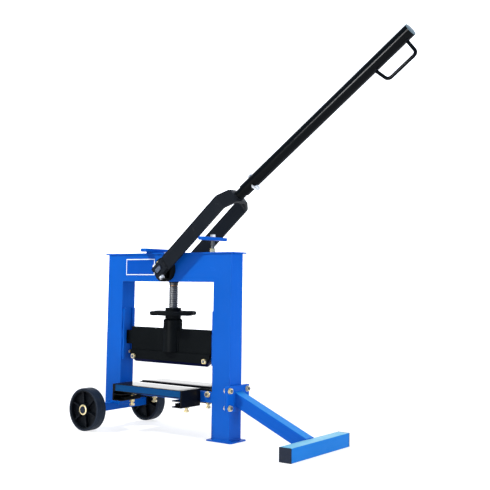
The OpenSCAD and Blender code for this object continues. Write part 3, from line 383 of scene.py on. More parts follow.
def axes(origin, zAxis, xHint=alongX):
    # place of a local frame: columns are its x, y and z directions, then its origin
    z = np.array(zAxis, float) / np.linalg.norm(zAxis)
    x = np.array(xHint, float) - z * np.dot(xHint, z)
    if np.linalg.norm(x) < 1e-6:
        x = alongY - z * z[1]
    x /= np.linalg.norm(x)
    return np.column_stack([x, np.cross(z, x), z, np.array(origin, float)])


def put(pts, place):
    return pts @ place[:, :3].T + place[:, 3]


def fullTurn(sides):
    return np.linspace(0, 2 * np.pi, sides, endpoint=False)


def turned(profile, place, sides=64):
    # surface of revolution: profile rows (radius, height), turned about the local z
    t = fullTurn(sides)
    r, z = np.array(profile, float).T
    pts = np.stack([np.outer(r, np.cos(t)), np.outer(r, np.sin(t)), np.repeat(z[:, None], sides, 1)], -1)
    return put(pts, place)


def rounded(profile, radius, steps=4):
    # replaces the corners of an open (r, z) line by small arcs drawn as quadratic curves
    p = np.array(profile, float)
    out = [p[:1]]
    k = np.linspace(0, 1, steps + 1)[:, None]
    for a, b, c in zip(p[:-2], p[1:-1], p[2:]):
        toA, toC = np.linalg.norm(a - b), np.linalg.norm(c - b)
        cut = min(radius, 0.45 * toA, 0.45 * toC)
        s = b + (a - b) / max(toA, 1e-9) * cut
        e = b + (c - b) / max(toC, 1e-9) * cut
        out.append((1 - k) ** 2 * s + 2 * k * (1 - k) * b + k**2 * e)
    out.append(p[-1:])
    return np.concatenate(out)


# shares of a thread's half turn and of its lead, the same for every thread
threadSet = dict(crest=0.62, flank=0.30, groove=0.52, taper=0.6, runOut=0.6)


def threadHeights(z0, z1, lead, perTurn):
    return np.linspace(z0, z1, max(int((z1 - z0) / lead * perTurn), 4))


def threaded(radius, z0, z1, lead, depth, place, sides=36, perTurn=10):
    # thread: radius falls by depth in a flat-topped wave of height / lead - angle, and tapers in at both ends
    t = fullTurn(sides)
    z = threadHeights(z0, z1, lead, perTurn)
    wave = np.abs(((z[:, None] / lead - t[None] / (2 * np.pi)) % 1.0) * 2 - 1)
    cut = np.clip((wave - threadSet["crest"]) / threadSet["flank"], 0, 1)
    ends = np.clip(np.minimum(z - z0, z1 - z)[:, None] / (threadSet["taper"] * lead), 0, 1)
    r = radius - depth * (cut * ends + threadSet["runOut"] * (1 - ends))
    pts = np.stack([r * np.cos(t), r * np.sin(t), np.repeat(z[:, None], sides, 1)], -1)
    low, high = (np.tile((0.0, 0.0, end), (1, sides, 1)) for end in (z0, z1))
    return put(np.concatenate([low, pts, high]), place)


def shadedGrooveFaces(z0, z1, lead, sides, perTurn):
    # material number of each face of a thread: 1, painted shade, in the groove, where the same wave is past its middle
    t = (np.arange(sides) + 0.5) / sides
    z = threadHeights(z0, z1, lead, perTurn)
    wave = np.abs((((z[:-1] + z[1:])[:, None] / 2 / lead - t[None]) % 1.0) * 2 - 1)
    edge = np.zeros((1, sides))
    return np.concatenate([edge, wave > threadSet["groove"], edge]).astype(np.int32).ravel()


hexSet = dict(face=0.97, chamfer=30.0)  # flat face's share of the width, chamfer in degrees


def hexBody(width, z0, z1, place, domes=(0, 1), sides=48):
    # hexagon with chamfered corners: the flat's distance over the cosine inside each sixth of a turn
    t = fullTurn(sides)
    flat = width / 2
    corner = flat / np.cos((t + np.pi / 6) % (np.pi / 3) - np.pi / 6)
    ring = np.full_like(t, hexSet["face"] * flat)
    drop = (corner - ring) * math.tan(math.radians(hexSet["chamfer"]))
    zero = np.zeros_like(t)
    low = [(ring, zero + z0), (corner, z0 + drop)] if domes[0] else [(corner, zero + z0)]
    high = [(corner, z1 - drop), (ring, zero + z1)] if domes[1] else [(corner, zero + z1)]
    rings = [(zero, zero + z0)] + low + high + [(zero, zero + z1)]
    return put(np.stack([np.stack([r * np.cos(t), r * np.sin(t), z], -1) for r, z in rings]), place)


def swept(path, radius, sides=12, side=alongY, closed=False):
    # round section along a path: the frame at each point is the path's direction, a side hint and their product
    p = np.array(path, float)
    d = np.gradient(p, axis=0) if not closed else np.roll(p, -1, 0) - np.roll(p, 1, 0)
    d /= np.linalg.norm(d, axis=1)[:, None]
    n = np.cross(d, np.array(side, float))
    n /= np.linalg.norm(n, axis=1)[:, None]
    b = np.cross(d, n)
    t = fullTurn(sides)
    r = np.broadcast_to(np.asarray(radius, float), (len(p),))[:, None, None]
    return p[:, None] + r * (np.cos(t)[None, :, None] * n[:, None] + np.sin(t)[None, :, None] * b[:, None])


def slab(x0, x1, z0, z1, y, thick, edge, count=(12, 8), shoulder=0.55):
    # flat plate facing -Y: a grid over the rectangle that falls by thick across the outer edge width
    lines = []
    for length, n in zip((x1 - x0, z1 - z0), count):
        along = np.concatenate([[0, 0], np.linspace(edge, length - edge, n), [length, length]])
        rise = np.concatenate([[0, shoulder], np.ones(n), [shoulder, 0]])
        lines.append((along, rise))
    (u, du), (v, dv) = lines
    x, z = np.meshgrid(x0 + u, z0 + v, indexing="ij")
    return np.stack([x, y - thick * np.minimum(du[:, None], dv[None]), z], -1)


# spindle: a trapezoid thread with painted shade in its grooves, an oily undercut, a plain neck painted dark for the
# beam's shade over it, and the ring that takes the eccentric
spindleSet = dict(x=pressX + 5.34, d=25.0, lead=5.0, depth=2.2, low=284.25, high=402.0, sides=56, perTurn=18,
                  undercut=1.2, underLow=1.0, underHigh=1.8, neckFrom=2.4, neckTop=424.0, neckThin=0.05, neckSoft=0.4,
                  ringZ=444.244, ringIn=19.5, ringOut=23.5, ringW=18.0, ringSoft=0.8)
s = spindleSet
upright = axes((s["x"], 0, 0), alongZ)
crosswise = axes((s["x"], 0, s["ringZ"]), alongY)
half = s["ringW"] / 2
ringLine = [(s["ringIn"], -half), (s["ringOut"], -half), (s["ringOut"], half), (s["ringIn"], half),
            (s["ringIn"], -half)]
neckR = s["d"] / 2 - s["neckThin"]
dip = neckR - s["undercut"]
underLine = [(dip, s["high"] - s["underLow"]), (dip, s["high"] + s["underHigh"])]
neckLine = rounded([underLine[1], (neckR, s["high"] + s["neckFrom"]), (neckR, s["neckTop"])], s["neckSoft"], 3)
screw = threaded(s["d"] / 2, s["low"], s["high"], s["lead"], s["depth"], upright, s["sides"], s["perTurn"])
addPiece("spindleScrew", [
    around(screw, shadedGrooveFaces(s["low"], s["high"], s["lead"], s["sides"], s["perTurn"])),
    around(turned(underLine, upright, s["sides"]), 2),
    # the neck takes the dark steel, painted shade for the beam over it
    around(turned(neckLine, upright, s["sides"]), 1),
    around(turned(rounded(ringLine, s["ringSoft"], 3), crosswise)),
], "spindle", [turnedSteel, paintedShadeSteel, oilyBrown], ["spindle"], 50.0)

# handwheel: a turned line whose outer part draws in and thins between its six lobes
wheelSet = dict(z=327.0, r=66.3, half=6.4, edge=4.4, rimIn=13.0, rimOut=7.0, rimWeb=(4.0, 3.4),
                scallop=7.8, thin=0.12, lobes=6, reach=12.0, drawPower=1.5, lobePower=1.3,
                hub=22.0, rise=15.0, neck=16.0, root=(5.0, 4.0), fillet=6.0, web=(4.2, 3.2),
                spigot=19.0, foot=32.0, groove=16.0, grooveLow=29.0, grooveHigh=23.0, bore=12.55, soft=2.2)
s = wheelSet
bore, spigot, groove, hub, rimR = (s[k] for k in ("bore", "spigot", "groove", "hub", "r"))
line = rounded([
    (bore, -s["foot"]), (spigot, -s["foot"]), (spigot, -s["grooveLow"]), (groove, -s["grooveLow"]),
    (groove, -s["grooveHigh"]), (spigot, -s["grooveHigh"]), (spigot, -s["neck"]), (hub, -s["neck"]),
    (hub, -s["root"][0]), (hub + s["fillet"], -s["web"][0]), (rimR - s["rimIn"], -s["rimWeb"][0]),
    (rimR - s["rimOut"], -s["half"]), (rimR, -s["edge"]), (rimR, s["edge"]), (rimR - s["rimOut"], s["half"]),
    (rimR - s["rimIn"], s["rimWeb"][1]), (hub + s["fillet"], s["web"][1]), (hub, s["root"][1]),
    (hub, s["rise"]), (bore, s["rise"]), (bore, -s["foot"])], s["soft"], 5)
turn = fullTurn(180)
draw = np.clip((line[:, :1] - hub - s["reach"]) / (rimR - hub - s["reach"]), 0, 1) ** s["drawPower"]
lobe = (0.5 - 0.5 * np.cos(s["lobes"] * turn)) ** s["lobePower"]
radius = line[:, :1] - s["scallop"] * draw * lobe
height = line[:, 1:] * (1 - s["thin"] * np.sqrt(draw) * lobe)
rim = np.stack([radius * np.cos(turn), radius * np.sin(turn), height], -1)
addPiece("handwheelNut", [around(put(rim, axes((spindleSet["x"], 0, s["z"]), alongZ)))],
         "handwheel", [wheelBlack], ["handwheel"], 55.0)

# tyres: round shoulders, a shallow crown and thin grooves round the tread
tyreSet = dict(x=-400.0, z=58.5, y=119.0, r=58.5, inner=52.55, half=15.5, shoulder=2.0, crown=0.3,
               groove=0.35, grooveWide=0.7, grooves=(-8.0, 0.0, 8.0))
s = tyreSet
bend = np.linspace(0, np.pi / 2, 7)
side = s["half"] - s["shoulder"]
tread = np.linspace(-side, side, 91)
dip = sum(np.exp(-(((tread - g) / s["grooveWide"]) ** 2)) for g in s["grooves"]) * s["groove"]
crownLine = s["r"] - s["crown"] * (tread / side) ** 2 - dip
low = np.stack([s["r"] - s["crown"] - s["shoulder"] * (1 - np.sin(bend)), -side - s["shoulder"] * np.cos(bend)], 1)
tyreLine = np.concatenate([[(s["inner"], -s["half"])], low, np.stack([crownLine, tread], 1)[1:-1],
                           low[::-1] * (1, -1), [(s["inner"], s["half"])], [(s["inner"], -s["half"])]])
for where, sign in bothSides:
    place = axes((s["x"], sign * s["y"], s["z"]), alongY)
    addPiece(where + "TyreTread", [around(turned(tyreLine, place, 160))], where + "_wheel",
             [tyreRubber], [where + "_tyre"], 60.0)
print("turned pieces: spindle, handwheel and tyres")

# lever: where the fork bends and which way it and the handle run, in the plane of the swing
leverSet = dict(pivotZ=448.0, slope=40.4, bend=287.0, handle=36.0)
s = leverSet
leverDir, handleDir = (np.array([math.cos(a), 0, math.sin(a)]) for a in map(math.radians, (s["slope"], s["handle"])))
leverUp, handleUp = (np.array([-d[2], 0, d[0]]) for d in (leverDir, handleDir))
pivot = np.array([pressX, 0, s["pivotZ"]])
bendAt = pivot + s["bend"] * leverDir

# grip loop: round bar along straight runs and corner arcs, in the handle's plane
loopSet = dict(far=625.5, length=94.0, drop=57.0, root=15.0, flare=12.0, lean=2.0, d=9.0, corner=12.0)
s = loopSet
near = s["far"] - s["length"]
corners = rounded([(near - s["flare"], -s["root"]), (near, -s["drop"]), (s["far"], -s["drop"]),
                   (s["far"] - s["lean"], -s["root"])], s["corner"], 10)
loopPath = bendAt + corners[:, :1] * handleDir + corners[:, 1:] * handleUp
addPiece("gripLoopBar", [around(swept(loopPath, s["d"] / 2, 20))], "lever",
         [handleBlack], ["grip_loop"], 60.0)

# end plug: a low dome over the handle's end
plugSet = dict(along=645.5, r=16.85, inner=14.3, crown=1.5, dome=4.0, rimShare=0.35, depth=18.0)
s = plugSet
curve = np.linspace(np.pi / 2, 0, 9)
domeR = (s["r"] - s["crown"]) * np.sin(curve) + s["crown"] * (curve > 0.01)
domeZ = s["dome"] * (s["rimShare"] + (1 - s["rimShare"]) * np.cos(curve))
plugLine = np.concatenate([[(0.01, -s["depth"]), (s["inner"], -s["depth"]), (s["inner"], 0), (s["r"], 0)],
                           np.stack([domeR, domeZ], 1), [(0.0, s["dome"])]])
plugAt = axes(bendAt + s["along"] * handleDir, handleDir, alongY)
addPiece("handleEndPlug", [around(turned(plugLine, plugAt, 48))], "lever", [plugGrey], ["handle_plug"], 40.0)

# label: a bare bordered plate on the beam's front
labelSet = dict(x0=-157.0, x1=-45.0, z0=432.0, z1=478.0, y=-25.0, thick=0.5, border=2.6, field=0.25, edge=0.3)
s = labelSet
for name, inset, y, thick, mat in (("labelBorder", 0.0, s["y"], s["thick"], labelWhite),
                                   ("labelField", s["border"], s["y"] - s["thick"], s["field"], labelBlue)):
    plate = slab(pressX + s["x0"] + inset, pressX + s["x1"] - inset, s["z0"] + inset, s["z1"] - inset, y, thick,
                 s["edge"])
    addPiece(name, [(plate, False, False, 0)], "frame", [mat])
print("lever's loop and plug, label")

# bolts: head, washers, nut and threaded end in place of the plain hexagons, sized by the thread's diameter
boltShape = dict(d=8.0, flats=1.6, head=0.65, nut=0.8, lead=0.16, depth=0.09, washer=1.3, washerSoft=0.3, lap=0.9,
                 spare=2.0, slack=0.02, root=0.5)


def boltGrids(grip, place, wide):
    # head under z = 0, nut over z = grip; number 0 is plating, 1 the dark thread
    s = boltShape
    d, washer = s["d"], s["washer"]
    nutTop = grip + s["nut"] * d
    ring = rounded([(0.5 * d, 0), (wide * d, 0), (wide * d, washer), (0.5 * d, washer)], s["washerSoft"], 2)
    return [
        around(hexBody(s["flats"] * d, -s["head"] * d, -washer * s["lap"], place, (1, 0))),
        around(turned(ring * (1, -1), place, 40)),
        around(turned(ring + (0, grip), place, 40)),
        around(hexBody(s["flats"] * d, grip + washer * s["lap"], nutTop, place, (0, 1))),
        around(threaded(0.5 * d - s["slack"], grip - s["root"], nutTop + s["spare"], s["lead"] * d, s["depth"] * d,
                        place, 24, 8), 1),
    ]


pinchSet = dict(back=9.5, rise=18.0, y=49.5)
pinchAt = pivot - pinchSet["back"] * leverDir + pinchSet["rise"] * leverUp
boltSet = dict(
    outrigger_bolts=dict(body="frame", mat=yellowZinc, wide=0.98, grip=10.0, along=alongX,
                         at=[(30.0, y, z) for y in (-36.5, 36.5) for z in (91.0, 135.0)]),
    lower_blade_bolts=dict(body="frame", mat=yellowZinc, wide=0.98, grip=34.0, along=-alongY,
                           at=[(pressX + x, 17.0, 117.5) for x in (-150.0, 150.0)]),
    blade_bolts=dict(body="carrier", mat=yellowZinc, wide=0.82, grip=22.0, along=-alongY,
                     at=[(pressX + x, 11.0, 202.0) for x in (-132.0, 132.0)]),
    pinch_bolts=dict(body="lever", mat=silverZinc, wide=0.98, grip=36.0, along=-leverUp,
                     at=[pinchAt + sign * pinchSet["y"] * alongY for where, sign in bothSides]),
)
for node, b in boltSet.items():
    grids = [g for at in b["at"] for g in boltGrids(b["grip"], axes(at, b["along"], alongZ), b["wide"])]
    addPiece(node.title().replace("_", "") + "Set", grids, b["body"], [b["mat"], darkSteel], [node], 30.0)
print("bolts", list(boltSet))


# eased copies: CAD nodes with their sharp edges softened, the posts and the beam fused so that no seam shows
edgeAngle = 30.0
mergeGap = 1e-6


def fusedMesh(name, source):
    copies = []
    for node in source:
        work = bmesh.new()
        work.from_mesh(nodes[node].data)
        mergeDoubles(work, mergeGap)
        mesh = bpy.data.meshes.new(name)
        work.to_mesh(mesh)
        work.free()
        copies.append(bpy.data.objects.new(name, mesh))
        scene.collection.objects.link(copies[-1])
    for other in copies[1:]:
        join = copies[0].modifiers.new("join", "BOOLEAN")
        join.operation = "UNION"
        join.object = other
    bpy.context.view_layer.update()
    fused = bpy.data.meshes.new_from_object(copies[0].evaluated_get(bpy.context.evaluated_depsgraph_get()))
    for copy in copies:
        bpy.data.objects.remove(copy)
    return fused


def easeEdges(piece, width, segments):
    bevel = piece.modifiers.new("edge", "BEVEL")
    bevel.width = width * mm
    bevel.segments = segments
    bevel.limit_method = "ANGLE"
    bevel.angle_limit = math.radians(edgeAngle)
    bevel.use_clamp_overlap = False
    bevel.harden_normals = True


def softCopy(name, source, body, slotName, mat, width, segments):
    mesh = fusedMesh(name, source)
    work = bmesh.new()
    work.from_mesh(mesh)
    mergeDoubles(work, mergeGap)
    bmesh.ops.dissolve_limit(work, angle_limit=math.radians(0.5), verts=work.verts, edges=work.edges)
    work.to_mesh(mesh)
    work.free()
    mesh.materials.clear()
    mesh.polygons.foreach_set("material_index", np.zeros(len(mesh.polygons), np.int32))
    easeEdges(finishPiece(name, mesh, body, [mat], source, edgeAngle), width, segments)


# name, nodes, look, width of the eased edge and its segments
blueFrame, blackFrame = ("frame", "blue_paint", bluePaint), ("frame", "black_paint", blackSatin)
blackCarrier = ("carrier", "black_paint", blackSatin)
softSet = [
    ("portalFrame", "left_post right_post top_beam", blueFrame, 1.0, 3),
    ("capStripEased", "cap_strip", blueFrame, 0.5, 2),
    ("basePlateEased", "base_plate", blueFrame, 0.9, 2),
    ("lowerBeamEased", "lower_beam", blueFrame, 1.5, 2),
    ("axleBarEased", "axle_bar_blue", blueFrame, 1.5, 2),
    ("bracketEased", "bracket_plate", blueFrame, 0.9, 2),
    ("flangeEased", "outrigger_flange", blueFrame, 0.9, 2),
    ("armEased", "outrigger_arm", ("frame", "blue_paint", armBlueLitTop), 1.8, 3),
    ("footEased", "outrigger_foot", ("frame", "blue_paint", footBlueLit), 2.0, 3),
    ("footPlugsEased", "foot_plugs", ("frame", "plastic", plugPlastic), 1.2, 3),
    ("frontBearingEased", "front_bearing", blackFrame, 1.0, 2),
    ("rearBearingEased", "rear_bearing", blackFrame, 1.0, 2),
    ("forkStrap", "lever_fork", ("lever", "black_paint", blackGloss), 1.0, 3),
    ("carrierPlateEased", "carrier_plate", blackCarrier, 0.8, 2),
    ("carrierSleeveEased", "carrier_sleeve", blackCarrier, 0.7, 2),
    ("frontCheekEased", "front_cheek", blackCarrier, 0.6, 2),
    ("rearCheekEased", "rear_cheek", blackCarrier, 0.6, 2),
    ("frontTableSheet", "front_table", ("front_table", "black_paint", tableBlack), 0.9, 3),
    ("rearTableSheet", "rear_table", ("rear_table", "black_paint", tableBlack), 0.9, 3),
    ("frontWheelCentre", "front_wheel", ("front_wheel", "plastic", wheelPlastic), 0.8, 2),
    ("rearWheelCentre", "rear_wheel", ("rear_wheel", "plastic", wheelPlastic), 0.8, 2),
]
for name, source, look, width, segments in softSet:
    softCopy(name, source.split(), *look, width, segments)
print("eased copies", len(softSet))

# table tops: a worn glossy skin over each sheet, inside its edges
topSet = dict(half=127.0, inner=19.0, outer=96.0, z=132.0, inset=2.2, thick=0.12, edge=0.4)
s = topSet
tableTops = bpy.data.collections.new("tableTops")
reach = s["half"] - s["inset"]
skin = slab(pressX - reach, pressX + reach, s["inner"] + s["inset"], s["outer"] - s["inset"], -s["z"], s["thick"],
            s["edge"])
for where, sign in bothSides:
    laid = np.stack([skin[..., 0], sign * skin[..., 2], -skin[..., 1]], -1)
    tableTops.objects.link(addPiece(where + "TableSkin", [(laid, False, False, 0)], where + "_table",
                                    [tableTopGloss]))

# table hems: the sheets' inner edges turned down, a rounded strip carried along x and closed at both ends
hemSet = dict(half=126.5, y=19.2, thick=2.4, low=123.0, high=131.2, corner=0.9)
s = hemSet
near, mid, far = s["y"], s["y"] + s["thick"] / 2, s["y"] + s["thick"]
hemLine = rounded([(mid, s["low"]), (far, s["low"]), (far, s["high"]), (near, s["high"]), (near, s["low"]),
                   (mid, s["low"])], s["corner"], 3)[:-1]
hemMiddle = np.broadcast_to(hemLine.mean(0), hemLine.shape)
hemRows = [(-1, hemMiddle), (-1, hemLine), (1, hemLine), (1, hemMiddle)]
for where, sign in bothSides:
    hem = np.stack([np.column_stack([np.full(len(row), pressX + end * s["half"]), sign * row[:, 0], row[:, 1]])
                    for end, row in hemRows])
    addPiece(where + "TableHem", [around(hem)], where + "_table", [tableBlack], (), 40.0)
print("table tops and hems")


# weld beads along the joints that show
def weldBead(start, end, radius, side, ripple=2.6):
    # bead between two points: the radius swells once per ripple and falls to nothing at both ends
    a, b = np.array(start, float), np.array(end, float)
    length = np.linalg.norm(b - a)
    s = np.linspace(0, 1, max(int(length / ripple * 6), 12))
    swell = 1 + 0.10 * np.abs(np.sin(np.pi * s * length / ripple)) + 0.05 * np.sin(s * length * 0.9)
    ends = np.clip(np.minimum(s, 1 - s) * length / (1.2 * radius), 0.02, 1) ** 0.5
    return swept(a + (b - a) * s[:, None], radius * swell * ends, 10, side)


def uprights(xs, ys, low, high):
    return [((x, y, low), (x, y, high)) for x in xs for y in ys]


def levels(x0, x1, ys, z):
    return [((x0, y, z), (x1, y, z)) for y in ys]


def crossLine(x, half, z):
    return [((x, -half, z), (x, half, z))]


postFaces = (pressX - 170.0, pressX + 170.0)
sleeveSides = (spindleSet["x"] - 25.9, spindleSet["x"] + 25.9)
footCorners = [(-30, -25, 4), (30, -25, 4), (30, 25, 4), (-30, 25, 4)]
clampSet = dict(along=24.0, half=17.0, ys=(-53.2, -45.8, 45.8, 53.2))
clampEnds = [pivot + clampSet["along"] * leverDir + h * clampSet["half"] * leverUp for h in (-1, 1)]
weldLook = dict(frame=("blue_paint", bluePaint), carrier=("black_paint", blackSatin), lever=("black_paint", blackGloss))
weldSet = dict(
    postFoot=dict(body="frame", r=2.6, lines=list(zip(footCorners, footCorners[1:] + footCorners[:1]))),
    bracket=dict(body="frame", r=2.4, lines=uprights(xs=(30,), ys=(-25, 25), low=82, high=144)),
    armFlange=dict(body="frame", r=2.4, lines=crossLine(x=40, half=16.5, z=131) + crossLine(x=40, half=16.5, z=95)
                   + uprights(xs=(40,), ys=(-16.5, 16.5), low=95.5, high=130)),
    armFoot=dict(body="frame", r=2.4, lines=uprights(xs=(263,), ys=(-16.5, 16.5), low=3, high=33)
                 + crossLine(x=263, half=16, z=35)),
    guides=dict(body="frame", r=1.8, lines=[
        line for z in (200, 250, 300) for line in uprights(postFaces, ys=(-21, 21), low=z, high=z + 28)]),
    lowerBeam=dict(body="frame", r=2.2, lines=uprights(postFaces, ys=(-17, 17), low=97, high=123)),
    axle=dict(body="frame", r=2.2, lines=levels(x0=-411, x1=-389, ys=(-25, 25), z=69.5)
              + uprights(xs=(-411, -389), ys=(-25, 25), low=63.5, high=69.5)),
    sleeve=dict(body="carrier", r=2.4, lines=uprights(sleeveSides, ys=(-6, 6), low=222, high=284)),
    cheeks=dict(body="carrier", r=1.6, lines=[
        line for x in (-340, -270, -170, -104) for line in levels(x0=x, x1=x + 46, ys=(-6, 6), z=220)]),
    clamps=dict(body="lever", r=2.2, lines=[[end + y * alongY for end in clampEnds] for y in clampSet["ys"]]),
)
for name, w in weldSet.items():
    slotName, mat = weldLook[w["body"]]
    grids = []
    for start, end in w["lines"]:
        run = np.array(end, float) - np.array(start, float)
        hint = alongY if abs(run[1]) < 0.5 * np.linalg.norm(run) else alongX
        grids.append(around(weldBead(start, end, w["r"], hint)))
    addPiece("weld" + name[0].upper() + name[1:], grids, w["body"], [mat], (), 60.0)

# ring beads: spigot on the fork's crown and the loop's two feet on the handle
beadSet = dict(ripple=0.12, crown=16.6, spigotR=14.6, spigotBead=1.9, spigotRipples=18,
               footDrop=16.4, footWide=4.802, footLong=5.145, footBead=1.3, footRipples=8, footIn=1.0)
s = beadSet


def ringBead(centre, first, second, bead, ripples, sides, normal):
    # bead round an ellipse: centre + first times cosine + second times sine, thicker at each ripple
    loop = centre + np.cos(turn)[:, None] * first + np.sin(turn)[:, None] * second
    thick = bead * (1 + beadSet["ripple"] * np.abs(np.sin(turn * ripples)))
    return swept(loop, thick, sides, normal, True), True, True, 0


crownBead = ringBead(bendAt + s["crown"] * handleDir, s["spigotR"] * alongY, s["spigotR"] * handleUp,
                     s["spigotBead"], s["spigotRipples"], 10, handleDir)
addPiece("weldSpigot", [crownBead], "lever", [blackGloss], (), 60.0)
loopFeet = (loopSet["far"] - loopSet["length"] - loopSet["flare"] + s["footIn"], loopSet["far"] - loopSet["lean"])
feet = [ringBead(bendAt + along * handleDir - s["footDrop"] * handleUp, s["footWide"] * alongY,
                 s["footLong"] * handleDir, s["footBead"], s["footRipples"], 8, handleUp) for along in loopFeet]
addPiece("weldLoop", feet, "lever", [blackGloss], (), 60.0)
print("welds", list(weldSet))


# stops for the fork: thick round-edged bars across the beam, one on a web and one on a stud
def roundBar(x, width, half, z0, z1, power, end):
    # superellipse section carried along y; a quarter circle of radius end draws it in at both ends
    t = fullTurn(48)
    sideways, upward = (np.sign(v) * np.abs(v) ** (2 / power) for v in (np.cos(t), np.sin(t)))
    a = np.linspace(0, np.pi / 2, 7)
    reach = half - end * (1 - np.cos(a))
    inset = end * (1 - np.sin(a))
    y = np.concatenate([[-half], -reach, reach[::-1], [half]])
    inset = np.concatenate([inset, inset[::-1]])
    wide = np.concatenate([[0], width / 2 - inset, [0]])
    tall = np.concatenate([[0], (z1 - z0) / 2 - inset, [0]])
    return np.stack([x + np.outer(wide, sideways), np.repeat(y[:, None], len(t), 1),
                     (z0 + z1) / 2 + np.outer(tall, upward)], -1)


stopSet = dict(barThick=9.6, power=5.0, end=3.0, restWidth=16.0,
               webHalf=25.0, webThin=1.0, webPower=14.0, webEnd=0.8, webSink=0.6, webLap=1.0)
s = stopSet
for name, node in (("restBar", "rest_bar"), ("backRest", "back_rest")):
    low, high = (np.array(v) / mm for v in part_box(node))
    middle, width, half = (low[0] + high[0]) / 2, high[0] - low[0], (high[1] - low[1]) / 2
    barLow = high[2] - s["barThick"]
    barWidth = s["restWidth"] if name == "restBar" else width
    grids = [around(roundBar(middle, barWidth, half, barLow, high[2], s["power"], s["end"]))]
    if name == "backRest":
        web = roundBar(middle, width - s["webThin"], s["webHalf"], low[2] - s["webSink"], barLow + s["webLap"],
                       s["webPower"], s["webEnd"])
        grids.append(around(web))
    addPiece(name + "Bar", grids, "frame", [bluePaint], [node], 40.0)

# stud of the rest bar, table bolts and jack screws: hexagons on threaded shanks
studSet = dict(x=pressX + 145.0, d=10.0, lead=1.5, depth=0.9, low=494.0, lowNut=13.4, lowH=10.5,
               topNut=13.0, topH=6.5, spare=8.7)
s = studSet
stud = axes((s["x"], 0, 0), alongZ, alongY)
restTop = float(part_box("rest_bar")[1].z) / mm
addPiece("restStud", [
    around(hexBody(s["lowNut"], s["low"], s["low"] + s["lowH"], stud)),
    around(hexBody(s["topNut"], restTop, restTop + s["topH"], stud), 1),
    around(threaded(s["d"] / 2, s["low"], restTop + s["spare"], s["lead"], s["depth"], stud, 30, 10), 2),
], "frame", [yellowZinc, silverZinc, turnedSteel], ["rest_bolt"], 30.0)

screwSet = dict(d=8.0, flats=12.8, head=5.2, nut=6.4, lead=1.25, depth=0.7)  # shared by table bolts and jacks


def screwShank(low, high, place):
    s = screwSet
    return around(threaded(s["d"] / 2, low, high, s["lead"], s["depth"], place, 24, 8))


def screwHex(low, high, place):
    return around(hexBody(screwSet["flats"], low, high, place))


tableBoltSet = dict(x=(-101.0, 101.0), y=45.0, head=69.7, lip=86.7, top=128.0)
s = tableBoltSet
for where, sign in bothSides:
    grids = []
    for x in s["x"]:
        place = axes((pressX + x, sign * s["y"], 0), alongZ, alongY)
        grids += [screwHex(s["head"], s["head"] + screwSet["head"], place),
                  screwHex(s["lip"] - screwSet["nut"], s["lip"], place),
                  screwShank(s["head"], s["top"], place)]
    addPiece(where + "TableBoltSet", grids, where + "_table", [yellowZinc], [where + "_table_bolts"], 30.0)

# table springs: a round wire up a helix whose first and last turns lie close
springSet = dict(seat=96.0, table=128.0, gap=0.2, wire=2.4, tip=0.05, d=13.0, turns=6, steps=40, sink=6.0)
s = springSet
turnAt = np.linspace(0, s["turns"], s["turns"] * s["steps"] + 1)
lowest, highest = s["seat"] + s["gap"] + s["wire"] / 2, s["table"] - s["gap"] - s["wire"] / 2
climb = np.interp(turnAt, (0, 1, s["turns"] - 1, s["turns"]),
                  (lowest, lowest + s["wire"], highest - s["wire"], highest))
coil = np.column_stack([s["d"] / 2 * np.cos(2 * np.pi * turnAt), s["d"] / 2 * np.sin(2 * np.pi * turnAt), climb])
wire = np.full(len(coil), s["wire"] / 2)
wire[[0, -1]] = s["tip"]
for where, sign in bothSides:
    grids = [around(swept(coil + (pressX + x, sign * tableBoltSet["y"], 0), wire, 10, alongZ))
             for x in tableBoltSet["x"]]
    spring = addPiece(where + "TableCoils", grids, "frame", [turnedSteel], [where + "_table_springs"],
                      60.0)
    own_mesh(spring)

jackSet = dict(x=(-140.0, 140.0), low=96.0, top=106.0)
s = jackSet
headLow = s["low"] - screwSet["head"]
grids = []
for x in s["x"]:
    place = axes((pressX + x, 0, 0), alongZ, alongY)
    grids += [screwHex(headLow, s["low"], place), screwShank(headLow, s["top"], place)]
addPiece("bladeJackSet", grids, "frame", [yellowZinc], ["blade_jacks"], 30.0)

# push-on rings at the axle's ends: a low dome with a rolled inner edge
ringSet = dict(x=-400.0, z=58.5, y=134.8, inner=9.05, outer=14.5, flat=(10.6, 12.6), innerH=1.2, outerH=0.8,
               thick=2.0, soft=0.5)
s = ringSet
ringLine = rounded([(s["inner"], 0), (s["outer"], 0), (s["outer"], s["outerH"]), (s["flat"][1], s["thick"]),
                    (s["flat"][0], s["thick"]), (s["inner"], s["innerH"]), (s["inner"], 0)], s["soft"], 3)
rings = [around(turned(ringLine, axes((s["x"], sign * s["y"], s["z"]), sign * alongY))) for where, sign in bothSides]
addPiece("axleRingSet", rings, "frame", [yellowZinc], ["axle_rings"], 40.0)
print("stops, stud, screws, springs and axle rings")

# floor: pale paper that glows more far from the object, where less light falls
floorSet = dict(size=18.0, tone=(0.30, 0.30, 0.31), fade=0.985, drift=1.2, rough=(0.75, 0.85),
                glow=0.76, glowFrom=1.5, glowTo=4.0)
s = floorSet
bpy.ops.mesh.primitive_plane_add(size=s["size"], location=(0, 0, 0))
floor = bpy.context.object
floor.name = "floor"
floorMat, tree, shader, coords = newMaterial("floorPaper")
drift = noise(tree, coords, s["drift"], 3.0)
paper = mixColour(tree, drift, s["tone"], tuple(v * s["fade"] for v in s["tone"]))
tree.links.new(paper, shader.inputs["Base Color"])
tree.links.new(remap(tree, drift, *mostNoise, *s["rough"]), shader.inputs["Roughness"])
shader.inputs["Emission Color"].default_value = (1, 1, 1, 1)
away = tree.nodes.new("ShaderNodeVectorMath")
away.operation = "LENGTH"
tree.links.new(coords, away.inputs[0])
tree.links.new(remap(tree, away.outputs["Value"], s["glowFrom"], s["glowTo"], s["glow"]),
               shader.inputs["Emission Strength"])
floor.data.materials.append(floorMat)

